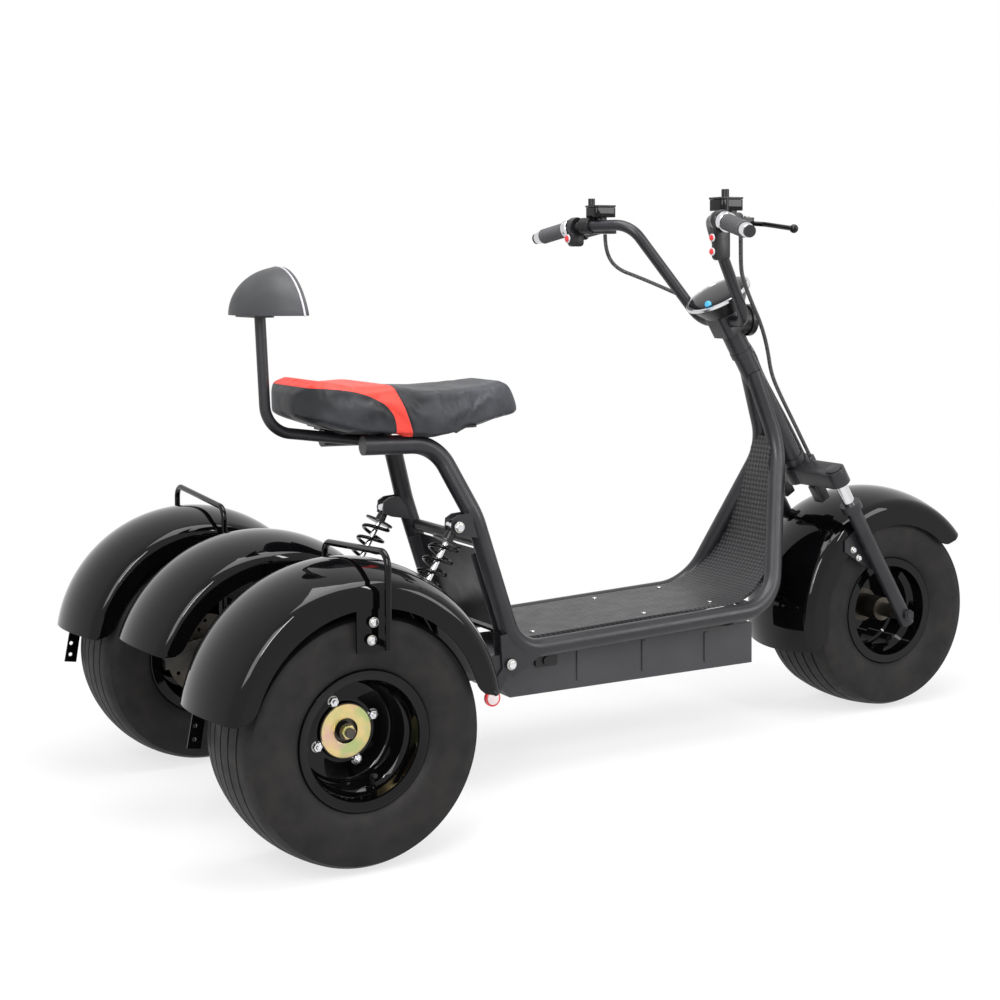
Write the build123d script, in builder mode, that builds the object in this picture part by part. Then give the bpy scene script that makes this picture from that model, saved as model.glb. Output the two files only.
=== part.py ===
from build123d import *
import os
from math import cos, radians, sin, tan

# Three-wheeled electric scooter: two fat wheels behind, one steered in front.
# Sizes in millimetres. +X runs forward, +Y to the rider's left, +Z up.
# Places along X are measured forward from the rear axle.

# Wheels, the same size all round
tyre_r = 228.5
tyre_width = 214
bead_r = 108
rim_lip_r = 123
rim_half_width = 91.5
rim_flange = 5
rim_wall = 3.5
rim_drop_r = 97
disc_thick = 5
disc_out = 5
groove_width = 5
groove_depth = 5
groove_pitch = 31
groove_count = 5
wheelbase = 1530
half_track = 390

# Gaps: between seated pieces, round a turning shaft, beside a moving part
seat_gap = 0.3
run_gap = 0.3
clear_gap = 5

# Hubs
hub_flange_r = 49
hub_flange_thick = 6
hub_spigot_r = 40
hub_recess_r = 22
half_shaft_r = 14
axle_end_r = 9
axle_end_out = 27
brake_disc_r = 84
brake_disc_thick = 4
brake_disc_in = 76
vent_count = 12
vent_r = 4
front_axle_r = 8
front_barrel_r = 27
front_neck_r = 16

# Fenders: domed sheet over each rear wheel, the motor and the front wheel
sheet = 3
fender_half_width = 121
rear_crown_r = 285
rear_shoulder_r = 254
rear_edge_r = 214
rear_fender_back = 2
rear_fender_up = 20
fender_front_angle = 8
fender_back_angle = 170
middle_crown_r = 283
middle_front_angle = 30
middle_back_angle = 161
front_crown_r = 284
front_shoulder_r = 256
front_edge_r = 204
front_tip_angle = 40
front_tail_angle = 195
front_half_width = 116
fender_corner_r = 34
fender_bend_r = 26

# Main rails
rail_d = 38
rail_y = 155
rail_back = (180, 98, 693)
rail_knee = (335, 101, 689)
rail_waist = (394, 545)
rail_foot = (485, 265)
rail_toe = (1133, 288)
rail_neck = (1254, 24, 625)
rail_end = (1196, 8, 795)
rail_bends = [75, 110, 80, 110, 150]

# Steering axis through the front axle, leaning back
rake = 30.5
head_tube_d = 46
head_tube_low = 412
head_tube_high = 716
steerer_r = 14
cup_height = 14

# Fork, in line with the steering axis; heights run along that axis from the axle
fork_half = 134
leg_d = 34
stanchion_d = 27
leg_top = 294
collar_d = 48
collar_height = 18
crown_low = 366
crown_high = 404
crown_width = 48
crown_boss_r = 32

# Handlebar, left half, measured ahead of and above the front axle
bar_d = 25
bar_base = (-411, 84, 682.5)
bar_shoulder = (-559, 151, 901.5)
bar_hand = (-624, 280, 899.5)
bar_tip = (-653, 410, 873.5)
bar_bends = [80, 62, 42, 42, 62, 80]

# Floor, battery and rear panel
deck_z = 285
deck_back_x = 508
deck_half = 128
board = 6
apron_bend_r = 165
apron_top = (1228, 648)
apron_foot_x = 1168
apron_low_half = 106
apron_low_z = 365
apron_top_half = 33
apron_shoulder_z = 604
battery_half = 110
battery_low = 160
battery_high = 249
battery_back = 446
battery_slant = 52
battery_front = 1114

# Rear suspension
pivot = (465, 245)
pivot_r = 6
arm_in = 142.5
arm_out = 164.5
plate = 5
housing_r = 30
motor_half = 110
motor_r = 85
shock_top = (350, 530)
shock_foot = (210, 287)
shock_rod_r = 6
damper_r = 17
damper_top = 150
shock_eye_r = 14
spring_d = 60
spring_wire = 8
spring_turns = 6.5
spring_low = 66
spring_high = 245

# Seat and backrest
seat_half = 138
seat_tail = 50
seat_nose = 568
seat_nose_half = 75
pan_z = 718
pan_thick = 4
pan_half = 118
pan_x = 290
pan_long = 280
pan_corner_r = 20
post_d = 22
post_foot = (232, 692)
post_bend = (20, 722)
post_top = (11, 944)
post_bend_r = 60
pad_half = 131
pad_low = 948
pad_rise = 93
pad_front = 50

rear_fender_reach = rear_fender_back + rear_crown_r * cos(radians(180 - fender_back_angle))
rear_axle_x = -(wheelbase + tyre_r - rear_fender_reach) / 2
os.makedirs("parts", exist_ok=True)


def at(x, y, z):
    """A point given by its distance ahead of the rear axle."""
    return Vector(rear_axle_x + x, y, z)


def bar_at(ahead, y, up):
    """A point given by its distances ahead of and above the front axle."""
    return at(wheelbase + ahead, y, tyre_r + up)


def save(part, name):
    """Label one finished piece and write it."""
    part.label = name
    export_step(part, "parts/" + name + ".step")
    print(name, round(part.volume))


def side_plane(y):
    """Plane seen from the right: local x forward, local y up."""
    return Plane(origin=at(0, y, 0), x_dir=(1, 0, 0), z_dir=(0, -1, 0))


def wheel_plane(centre, side):
    """Half section of a wheel: local x outwards, local y away from its axle."""
    return Plane(origin=centre, x_dir=(0, side, 0), z_dir=(side, 0, 0))


def bar(points, radii, diameter):
    """Round bar along straight runs joined by tangent bends."""
    with BuildPart() as rod:
        with BuildLine() as path:
            if len(points) > 2:
                FilletPolyline(*points, radius=radii)
            else:
                Line(*points)
        with BuildSketch(path.line ^ 0):
            Circle(diameter / 2)
        sweep()
    return rod.part


# Wheels


def tyre(centre):
    """Balloon tyre with ribs round its tread."""
    bead_half = rim_half_width - rim_flange - seat_gap
    shoulder = tyre_width / 2 - 18
    plane = wheel_plane(centre, 1)
    with BuildPart() as ring:
        with BuildSketch(plane):
            with BuildLine():
                ThreePointArc((-shoulder, tyre_r - 9), (0, tyre_r), (shoulder, tyre_r - 9))
                for edge in (-1, 1):
                    widest = (edge * tyre_width / 2, (tyre_r + rim_lip_r) / 2 + 4)
                    low = (edge * bead_half, rim_lip_r + 1)
                    ThreePointArc(low, widest, (edge * shoulder, tyre_r - 9))
                    Line(low, (edge * bead_half, bead_r))
                Line((-bead_half, bead_r), (bead_half, bead_r))
            make_face()
            for number in range(groove_count):
                across = (number - (groove_count - 1) / 2) * groove_pitch
                with Locations((across, tyre_r)):
                    Rectangle(groove_width, 2 * groove_depth, mode=Mode.SUBTRACT)
        revolve(axis=Axis(plane.origin, plane.x_dir))
    return ring.part


def rim(centre, side, bore_r):
    """Deep two-lipped rim with a flat disc near its middle."""
    seat_r = bead_r - seat_gap
    lip = rim_half_width - rim_flange
    well = lip - 40
    plane = wheel_plane(centre, side)
    with BuildPart() as shell:
        with BuildSketch(plane):
            with BuildLine():
                Polyline(
                    (-rim_half_width, seat_r - rim_wall),
                    (-rim_half_width, rim_lip_r),
                    (-lip, rim_lip_r),
                    (-lip, seat_r),
                    (-well - 12, seat_r),
                    (-well, rim_drop_r),
                    (well, rim_drop_r),
                    (well + 12, seat_r),
                    (lip, seat_r),
                    (lip, rim_lip_r),
                    (rim_half_width, rim_lip_r),
                    (rim_half_width, seat_r - rim_wall),
                    (well + 12, seat_r - rim_wall),
                    (well, rim_drop_r - rim_wall),
                    (disc_out, rim_drop_r - rim_wall),
                    (disc_out, bore_r),
                    (disc_out - disc_thick, bore_r),
                    (disc_out - disc_thick, rim_drop_r - rim_wall),
                    (-well, rim_drop_r - rim_wall),
                    (-well - 12, seat_r - rim_wall),
                    close=True,
                )
            make_face()
        revolve(axis=Axis(plane.origin, plane.x_dir))
    return shell.part


def rear_hub(centre, side):
    """Flange, spigot, vented brake disc, half shaft and axle end of a rear wheel."""
    face = disc_out + hub_flange_thick
    plane = wheel_plane(centre, side)
    out = Plane(origin=centre, z_dir=(0, side, 0))
    with BuildPart() as hub:
        with BuildSketch(plane):
            with BuildLine():
                Polyline(
                    (-brake_disc_in - 50, 0),
                    (-brake_disc_in - 50, half_shaft_r),
                    (-brake_disc_in - brake_disc_thick, half_shaft_r),
                    (-brake_disc_in - brake_disc_thick, brake_disc_r),
                    (-brake_disc_in, brake_disc_r),
                    (-brake_disc_in, hub_spigot_r - 8),
                    (-20, hub_spigot_r - 8),
                    (-20, hub_spigot_r - run_gap),
                    (disc_out + seat_gap, hub_spigot_r - run_gap),
                    (disc_out + seat_gap, hub_flange_r),
                    (face, hub_flange_r),
                    (face, hub_recess_r),
                    (face - 10, hub_recess_r),
                    (face - 10, 15),
                    (face + 6, 15),
                    (face + 6, axle_end_r),
                    (disc_out + axle_end_out, axle_end_r),
                    (disc_out + axle_end_out, 0),
                    close=True,
                )
            make_face()
        revolve(axis=Axis(plane.origin, plane.x_dir))
        with BuildSketch(out.offset(-brake_disc_in)):
            with PolarLocations(brake_disc_r - 14, vent_count):
                Circle(vent_r)
            with PolarLocations(brake_disc_r - 30, vent_count, start_angle=15):
                Circle(vent_r)
        extrude(amount=-brake_disc_thick, mode=Mode.SUBTRACT)
    return hub.part


def front_hub(centre):
    """Stepped hub barrel with its brake disc on the left."""
    inner = fork_half - leg_d / 2 - clear_gap
    plane = wheel_plane(centre, 1)
    out = Plane(origin=centre, z_dir=(0, 1, 0))
    with BuildPart() as hub:
        with BuildSketch(plane):
            with BuildLine():
                Polyline(
                    (-inner, front_axle_r + run_gap),
                    (-inner, front_neck_r),
                    (-68, front_neck_r),
                    (-68, front_barrel_r),
                    (disc_out - disc_thick, front_barrel_r),
                    (disc_out - disc_thick, hub_spigot_r - run_gap),
                    (disc_out, hub_spigot_r - run_gap),
                    (disc_out, front_barrel_r),
                    (brake_disc_in, front_barrel_r),
                    (brake_disc_in, brake_disc_r),
                    (brake_disc_in + brake_disc_thick, brake_disc_r),
                    (brake_disc_in + brake_disc_thick, front_neck_r),
                    (inner, front_neck_r),
                    (inner, front_axle_r + run_gap),
                    close=True,
                )
            make_face()
        revolve(axis=Axis(plane.origin, plane.x_dir))
        with BuildSketch(out.offset(brake_disc_in)):
            with PolarLocations(brake_disc_r - 14, vent_count):
                Circle(vent_r)
            with PolarLocations(brake_disc_r - 30, vent_count, start_angle=15):
                Circle(vent_r)
        extrude(amount=brake_disc_thick, mode=Mode.SUBTRACT)
    return hub.part


rear_centre = {"right": at(0, -half_track, tyre_r), "left": at(0, half_track, tyre_r)}
side_sign = {"right": -1, "left": 1}
front_centre = at(wheelbase, 0, tyre_r)
for hand, centre in rear_centre.items():
    save(tyre(centre), "tyre_rear_" + hand)
    save(rim(centre, side_sign[hand], hub_spigot_r), "rim_rear_" + hand)
    save(rear_hub(centre, side_sign[hand]), "hub_rear_" + hand)
save(tyre(front_centre), "tyre_front")
save(rim(front_centre, 1, hub_spigot_r), "rim_front")
save(front_hub(front_centre), "hub_front")


# Fenders


def fender(centre, crown_r, shoulder_r, edge_r, front_angle, back_angle, half_width):
    """Domed sheet bent over a wheel, its lower corners rounded."""
    turn = radians(front_angle)
    plane = Plane(origin=centre, x_dir=(0, 1, 0), z_dir=(sin(turn), 0, -cos(turn)))
    with BuildPart() as shell:
        for wall, mode in ((0, Mode.ADD), (sheet, Mode.SUBTRACT)):
            edge = half_width - wall
            low = edge_r - 4 * wall
            with BuildSketch(plane) as section:
                with BuildLine():
                    Polyline((-edge, shoulder_r), (-edge, low), (edge, low), (edge, shoulder_r))
                    ThreePointArc((-edge, shoulder_r), (0, crown_r - wall), (edge, shoulder_r))
                make_face()
                fillet(section.vertices().sort_by(Axis.Y)[-2:], fender_bend_r - wall)
            revolve(
                axis=Axis(centre, (0, -1, 0)), revolution_arc=back_angle - front_angle, mode=mode
            )
        short = shell.edges().filter_by(Axis.Y).filter_by(lambda e: e.length < sheet + 0.1)
        corner_reach = Vector(0, half_width - sheet / 2, edge_r).length
        corners = short.filter_by(lambda e: abs((e.center() - centre).length - corner_reach) < 1)
        fillet(corners, fender_corner_r)
    return shell.part


rear_fender_centre = (-rear_fender_back, tyre_r + rear_fender_up)
for hand, side in side_sign.items():
    centre = at(rear_fender_centre[0], side * half_track, rear_fender_centre[1])
    shell = fender(
        centre, rear_crown_r, rear_shoulder_r, rear_edge_r,
        fender_front_angle, fender_back_angle, fender_half_width,
    )
    save(shell, "fender_" + hand)
middle_shell = fender(
    at(rear_fender_centre[0], 0, rear_fender_centre[1]), middle_crown_r,
    middle_crown_r - rear_crown_r + rear_shoulder_r, rear_edge_r,
    middle_front_angle, middle_back_angle, fender_half_width,
)
save(middle_shell, "fender_middle")
front_shell = fender(
    front_centre, front_crown_r, front_shoulder_r, front_edge_r,
    front_tip_angle, front_tail_angle, front_half_width,
)
save(front_shell, "fender_front")


# Main frame

steering = Plane(
    origin=front_centre,
    x_dir=(cos(radians(rake)), 0, sin(radians(rake))),
    z_dir=(-sin(radians(rake)), 0, cos(radians(rake))),
)


def steer_at(ahead, y, along):
    """A point by its distance ahead of the steering axis and along it."""
    return steering.from_local_coords(Vector(ahead, y, along))


def biggest(part):
    """The largest solid of a piece, without the offcuts."""
    with BuildPart() as kept:
        add(part.solids().sort_by(SortBy.VOLUME)[-1])
    return kept.part


def rail(side):
    """One main tube: under the seat, down the back, along the floor and up to the neck."""
    y = side * rail_y
    points = [
        at(rail_back[0], side * rail_back[1], rail_back[2]),
        at(rail_knee[0], side * rail_knee[1], rail_knee[2]),
        at(rail_waist[0], y, rail_waist[1]),
        at(rail_foot[0], y, rail_foot[1]),
        at(rail_toe[0], y, rail_toe[1]),
        at(rail_neck[0], side * rail_neck[1], rail_neck[2]),
        at(rail_end[0], side * rail_end[1], rail_end[2]),
    ]
    with BuildPart() as tube:
        add(bar(points, rail_bends, rail_d))
        with BuildSketch(steering.offset(head_tube_low)):
            Circle(head_tube_d / 2)
        extrude(amount=2 * (head_tube_high - head_tube_low), mode=Mode.SUBTRACT)
        split(bisect_by=Plane.XZ, keep=Keep.TOP if side < 0 else Keep.BOTTOM)
    return biggest(tube.part)


rails = {hand: rail(side) for hand, side in side_sign.items()}
for hand, part in rails.items():
    save(part, "frame_rail_" + hand)

cup_out = 3
with BuildPart() as head_tube:
    with BuildSketch(steering.offset(head_tube_low)):
        Circle(head_tube_d / 2)
    extrude(amount=head_tube_high - head_tube_low)
    for end in (head_tube_low, head_tube_high - cup_height):
        with BuildSketch(steering.offset(end)):
            Circle(head_tube_d / 2 + cup_out)
        extrude(amount=cup_height)
    with BuildSketch(steering.offset(head_tube_low)):
        Circle(steerer_r + run_gap)
    extrude(amount=head_tube_high - head_tube_low, mode=Mode.SUBTRACT)
save(head_tube.part, "head_tube")

# Tubes, straps and a neck gusset between the rails, saddle-cut to them
gusset_half = 4
gusset_outline = [(1246, 578), (1252, 650), (1264, 700), (1330, 590), (1296, 578)]
cross_d = 24
strap_places = (574, 1082)
strap_width = 30
strap_thick = 4
hanger_y = 70
hanger_r = 11
floor_slope = (rail_toe[1] - rail_foot[1]) / (rail_toe[0] - rail_foot[0])
seat_cross = (232, 99, 692)
cross_places = [
    # x, half length, z
    (416, rail_y, 491),
    seat_cross,
    (1166, 131, 336),
]


def floor_z(x):
    """Height of the floor board's underside."""
    return deck_z - board + (x - deck_back_x) * floor_slope


with BuildPart() as gusset:
    with BuildSketch(side_plane(gusset_half)):
        Polygon(*gusset_outline, align=None)
    extrude(amount=2 * gusset_half)
    for hand in rails:
        add(rails[hand], mode=Mode.SUBTRACT)
    with BuildSketch(steering):
        Circle(head_tube_d / 2 + cup_out)
    extrude(amount=head_tube_high, mode=Mode.SUBTRACT)

with BuildPart() as frame_braces:
    for x, half, z in cross_places:
        with BuildSketch(Plane(origin=at(x, -half, z), z_dir=(0, 1, 0))):
            Circle(cross_d / 2)
        extrude(amount=2 * half)
    with BuildSketch(side_plane(-rail_y)):
        for x in strap_places:
            with Locations((x, floor_z(x) - seat_gap - strap_thick / 2)):
                Rectangle(strap_width, strap_thick, rotation=2)
    extrude(amount=-2 * rail_y)
    for x in strap_places:
        with BuildSketch(Plane(origin=at(x, 0, battery_high))):
            with Locations((0, -hanger_y), (0, hanger_y)):
                Circle(hanger_r)
        extrude(amount=floor_z(x) - seat_gap - strap_thick / 2 - battery_high)
    for hand in rails:
        add(rails[hand], mode=Mode.SUBTRACT)
    add(biggest(gusset.part))
save(frame_braces.part, "frame_braces")

# Folded tray that closes the back between the rails
panel_top = 76
panel_low = 250
panel_flange = 22
back_run = Vector(rail_foot[0] - rail_waist[0], 0, rail_foot[1] - rail_waist[1]).normalized()
back_plane = Plane(origin=at(rail_waist[0], 0, rail_waist[1]), x_dir=(0, 1, 0), z_dir=back_run)
tray_half = rail_y - rail_d / 2 - seat_gap
with BuildPart() as rear_panel:
    with BuildSketch(back_plane.offset(panel_top)):
        with BuildLine():
            Polyline(
                (-tray_half, -panel_flange),
                (-tray_half, sheet),
                (tray_half, sheet),
                (tray_half, -panel_flange),
                (tray_half - sheet, -panel_flange),
                (tray_half - sheet, 0),
                (-tray_half + sheet, 0),
                (-tray_half + sheet, -panel_flange),
                close=True,
            )
        make_face()
    extrude(amount=panel_low - panel_top)
save(rear_panel.part, "rear_panel")

# Battery case with its slanted tail and side ribs
rib_places = (663, 826, 989)
rib_width = 10
rib_out = 3
with BuildPart() as battery_case:
    with BuildSketch(side_plane(battery_half)):
        with BuildLine():
            Polyline(
                (battery_back, battery_high),
                (battery_front, battery_high),
                (battery_front, battery_low),
                (battery_back + battery_slant, battery_low),
                (battery_back, battery_low + battery_slant),
                close=True,
            )
        make_face()
    extrude(amount=2 * battery_half)
    for side in side_sign.values():
        with BuildSketch(side_plane(side * (battery_half - 1))):
            for x in rib_places:
                with Locations((x, (battery_low + battery_high) / 2 + 4)):
                    Rectangle(rib_width, battery_high - battery_low - 24)
        extrude(amount=-side * (rib_out + 1))
save(battery_case.part, "battery_case")

# Charging socket with its flap on the right of the battery case
socket_x = 582
socket_z = 228
socket_long = 52
socket_high = 24
socket_out = 6
socket_cap_r = 9
with BuildPart() as charge_socket:
    with BuildSketch(side_plane(-battery_half)):
        with Locations((socket_x, socket_z)):
            RectangleRounded(socket_long, socket_high, 6)
    extrude(amount=socket_out)
    with BuildSketch(side_plane(-battery_half - socket_out)):
        with Locations((socket_x, socket_z)):
            Circle(socket_cap_r)
    extrude(amount=4)
save(charge_socket.part, "charge_socket")

# Floor board: flat, curved up in front and narrowing to a rounded top
with BuildPart() as floor_board:
    with BuildSketch(side_plane(deck_half)):
        for lift, mode in ((0, Mode.ADD), (-board, Mode.SUBTRACT)):
            back = (deck_back_x, floor_z(deck_back_x) + board + lift)
            bend = (apron_foot_x - lift, floor_z(apron_foot_x) + board + lift)
            head = (apron_top[0] - lift, apron_top[1])
            with BuildLine():
                FilletPolyline(back, bend, head, radius=apron_bend_r - lift)
                far = head[0] + 60
                Polyline(head, (far, head[1]), (far, back[1] - 60), (back[0], back[1] - 60), back)
            make_face(mode=mode)
    extrude(amount=2 * deck_half)
    with BuildSketch(Plane(origin=at(0, 0, 0), x_dir=(0, 1, 0), z_dir=(1, 0, 0))) as front_view:
        with BuildLine():
            for edge in (-1, 1):
                Polyline(
                    (0, 0),
                    (edge * deck_half, 0),
                    (edge * deck_half, deck_z + 12),
                    (edge * apron_low_half, apron_low_z),
                    (edge * apron_top_half, apron_shoulder_z),
                )
            ThreePointArc(
                (-apron_top_half, apron_shoulder_z),
                (0, apron_top[1]),
                (apron_top_half, apron_shoulder_z),
            )
        make_face()
    extrude(amount=wheelbase, mode=Mode.INTERSECT)
    for hand in rails:
        add(rails[hand], mode=Mode.SUBTRACT)
save(biggest(floor_board.part), "floor_board")


# Rear suspension and axle


def side_pair(outline, reach_in, reach_out):
    """One side outline as a slab on each side of the centre line."""
    with BuildPart() as slabs:
        for side in side_sign.values():
            with BuildSketch(side_plane(side * reach_in)):
                Polygon(*outline, align=None)
            extrude(amount=-side * (reach_out - reach_in))
    return slabs.part


def side_pins(place, radius, reach_in, reach_out):
    """A round pin across each side, centred at a place in the side view."""
    with BuildPart() as pins:
        for side in side_sign.values():
            with BuildSketch(side_plane(side * reach_in)):
                with Locations(place):
                    Circle(radius)
            extrude(amount=-side * (reach_out - reach_in))
    return pins.part


# Ears behind the rails for the dampers' tops, and plates at the swing arm's pivot
top_ear = [(336, 520), (338, 545), (352, 553), (393, 556), (409, 502), (356, 512)]
head_r = 10
head_thick = 6
with BuildPart() as shock_ears:
    add(side_pair(top_ear, arm_in - plate, arm_in))
    add(side_pair(top_ear, arm_out, arm_out + plate))
    for hand in rails:
        add(rails[hand], mode=Mode.SUBTRACT)
    add(side_pins(shock_top, pivot_r, arm_in - plate, arm_out + plate))
    add(side_pins(shock_top, head_r, arm_out + plate, arm_out + plate + head_thick))

pivot_outline = [(444, 304), (448, 231), (470, 217), (487, 225), (541, 257), (520, 282), (480, 310)]
reflector_place = (421, 183)
reflector_arm = [(411, 190), (446, 236), (468, 236), (432, 176), (414, 174)]
with BuildPart() as frame_brackets:
    add(side_pair(pivot_outline, arm_in - plate, arm_in))
    add(side_pair(pivot_outline, arm_out, arm_out + plate))
    add(side_pair(reflector_arm, arm_out, arm_out + plate))
    for hand in rails:
        add(rails[hand], mode=Mode.SUBTRACT)
    add(side_pins(pivot, pivot_r, arm_in - plate, arm_out + plate))
    add(side_pins(pivot, head_r, arm_out + plate, arm_out + plate + head_thick))
    add(shock_ears.part)
save(frame_brackets.part, "frame_brackets")

reflector_r = 16.5
reflector_thick = 8
with BuildPart() as reflectors:
    add(side_pins(reflector_place, reflector_r, arm_out + plate, arm_out + plate + reflector_thick))
save(reflectors.part, "reflectors")

# Swing arm: two tapered bars, a cross tube and ears for the dampers' feet
arm_pivot_r = 20
arm_axle_r = 42
arm_outline = [
    (pivot[0], pivot[1] + arm_pivot_r),
    (0, tyre_r + 24),
    (0, tyre_r - 24),
    (pivot[0], pivot[1] - arm_pivot_r),
]
ear_outline = [(182, 236), (238, 236), (226, 300), (194, 300)]
arm_cross = (400, 243)
arm_cross_r = 15
with BuildPart() as swing_arm:
    add(side_pair(arm_outline, arm_in, arm_out))
    add(side_pins(pivot, arm_pivot_r, arm_in, arm_out))
    add(side_pins((0, tyre_r), arm_axle_r, arm_in, arm_out))
    with BuildSketch(Plane(origin=at(arm_cross[0], -arm_in, arm_cross[1]), z_dir=(0, 1, 0))):
        Circle(arm_cross_r)
    extrude(amount=2 * arm_in)
    add(side_pair(ear_outline, arm_in - plate, arm_in))
    add(side_pair(ear_outline, arm_out, arm_out + plate))
    add(side_pins(shock_foot, pivot_r, arm_in - plate, arm_out + plate + head_thick))
    add(side_pins(pivot, pivot_r, arm_in, arm_out), mode=Mode.SUBTRACT)
    add(side_pins((0, tyre_r), housing_r, arm_in, arm_out), mode=Mode.SUBTRACT)
save(swing_arm.part, "swing_arm")

# Axle housings on both sides of the drive motor
housing_end = half_track - brake_disc_in - brake_disc_thick - clear_gap
shaft_reach = half_track - brake_disc_in - 50
with BuildPart() as rear_axle:
    add(side_pins((0, tyre_r), housing_r, motor_half, housing_end))
    add(side_pins((0, tyre_r), housing_r + 12, motor_half, motor_half + 10))
    bores = side_pins((0, tyre_r), half_shaft_r + run_gap, shaft_reach - 1, housing_end)
    add(bores, mode=Mode.SUBTRACT)
save(rear_axle.part, "rear_axle")

with BuildPart() as drive_motor:
    with BuildSketch(side_plane(motor_half)):
        with Locations((0, tyre_r)):
            Circle(motor_r)
    extrude(amount=2 * motor_half)
save(drive_motor.part, "drive_motor")

# Rear brake calipers, each on a plate clamped to the housing's end
caliper_near = 55
caliper_far = 94
caliper_half = 20
caliper_in = half_track - 92
caliper_out = half_track - 62
slot_half = 7
disc_middle = half_track - brake_disc_in - brake_disc_thick / 2
caliper_outline = [
    (-caliper_far, tyre_r - caliper_half),
    (-caliper_near, tyre_r - caliper_half),
    (-caliper_near, tyre_r + caliper_half),
    (-caliper_far, tyre_r + caliper_half),
]
carrier_outline = [
    (-caliper_far, tyre_r - caliper_half),
    (0, tyre_r - 40),
    (38, tyre_r),
    (0, tyre_r + 40),
    (-caliper_far, tyre_r + caliper_half),
]
slot_outline = [
    (-brake_disc_r - clear_gap, tyre_r - 40),
    (0, tyre_r - 40),
    (0, tyre_r + 40),
    (-brake_disc_r - clear_gap, tyre_r + 40),
]
with BuildPart() as rear_calipers:
    add(side_pair(caliper_outline, caliper_in, caliper_out))
    for side in side_sign.values():
        with BuildSketch(side_plane(side * (disc_middle - slot_half))):
            Polygon(*slot_outline, align=None)
        extrude(amount=-side * 2 * slot_half, mode=Mode.SUBTRACT)
    add(side_pair(carrier_outline, caliper_in - plate, caliper_in))
    add(side_pins((0, tyre_r), housing_r, caliper_in - plate, caliper_in), mode=Mode.SUBTRACT)
save(rear_calipers.part, "rear_calipers")

# Dampers with perches, and the coil springs round them
shock_run = Vector(shock_top[0] - shock_foot[0], 0, shock_top[1] - shock_foot[1])
shock_middle = (arm_in + arm_out) / 2
perch_thick = 5
eye_half = (arm_out - arm_in) / 2 - seat_gap
wire_sides = 6
shock_steps = [
    # radius, from, to
    (shock_rod_r, shock_eye_r - 2, spring_low - perch_thick),
    (spring_d / 2 + 1, spring_low - perch_thick, spring_low),
    (damper_r, spring_low, damper_top),
    (shock_rod_r, damper_top, spring_high),
    (spring_d / 2 + 1, spring_high, spring_high + perch_thick),
    (10, spring_high + perch_thick, shock_run.length - shock_eye_r + 2),
]


def shock_plane(side):
    """Plane at a damper's lower eye, looking up along the damper."""
    foot = at(shock_foot[0], side * shock_middle, shock_foot[1])
    return Plane(origin=foot, x_dir=(0, 1, 0), z_dir=shock_run)


with BuildPart() as shocks:
    for side in side_sign.values():
        base = shock_plane(side)
        for radius, low, high in shock_steps:
            with BuildSketch(base.offset(low)):
                Circle(radius)
            extrude(amount=high - low)
        for along in (0, shock_run.length):
            eye = Plane(origin=base.from_local_coords(Vector(0, 0, along)), z_dir=(0, 1, 0))
            with BuildSketch(eye):
                Circle(shock_eye_r)
            extrude(amount=eye_half, both=True)
            with BuildSketch(eye):
                Circle(pivot_r)
            extrude(amount=eye_half, both=True, mode=Mode.SUBTRACT)
save(shocks.part, "shocks")

coil_r = (spring_d - spring_wire) / 2
coil_rise = spring_high - spring_low - spring_wire - 2 * seat_gap
with BuildPart() as springs:
    for side in side_sign.values():
        along = spring_low + spring_wire / 2 + seat_gap
        start = shock_plane(side).from_local_coords(Vector(0, 0, along))
        with BuildLine() as turns:
            Helix(coil_rise / spring_turns, coil_rise, coil_r, center=start, direction=shock_run)
        with BuildSketch(turns.line ^ 0):
            RegularPolygon(spring_wire / 2, wire_sides)
        sweep(is_frenet=True)
save(springs.part, "springs")


# Carriers of the rear fenders: cross tube, struts and plates on the fenders' walls
carrier_z = 435
carrier_r = 10
strut_r = 9
strut_y = 205
wall_in = half_track - fender_half_width
wall_out = half_track + fender_half_width
carrier_plate = [(-28, 418), (32, 418), (40, 486), (-36, 486)]
with BuildPart() as fender_carriers:
    with BuildSketch(Plane(origin=at(0, -wall_in + plate, carrier_z), z_dir=(0, 1, 0))):
        Circle(carrier_r)
    extrude(amount=2 * (wall_in - plate))
    for side in side_sign.values():
        with BuildSketch(Plane(origin=at(0, side * strut_y, tyre_r), z_dir=(0, 0, 1))):
            Circle(strut_r)
        extrude(amount=carrier_z - tyre_r)
    add(side_pair(carrier_plate, wall_in - plate, wall_in))
    add(side_pair(carrier_plate, fender_half_width, fender_half_width + plate))
    add(side_pins((0, tyre_r), housing_r, strut_y - 20, strut_y + 20), mode=Mode.SUBTRACT)
save(fender_carriers.part, "fender_carriers")

# Slotted tabs behind the outer fenders, one on the left wall of each
tab_outline = [(-226, 312), (-204, 306), (-222, 198), (-247, 202)]
tab_holes = [(-234, 216), (-232, 240)]
tab_hole_r = 4
with BuildPart() as fender_tabs:
    for side in side_sign.values():
        face_y = side * half_track + fender_half_width - sheet
        with BuildSketch(side_plane(face_y)):
            Polygon(*tab_outline, align=None)
            with Locations(*tab_holes):
                Circle(tab_hole_r, mode=Mode.SUBTRACT)
        extrude(amount=sheet)
save(fender_tabs.part, "fender_tabs")

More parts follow.
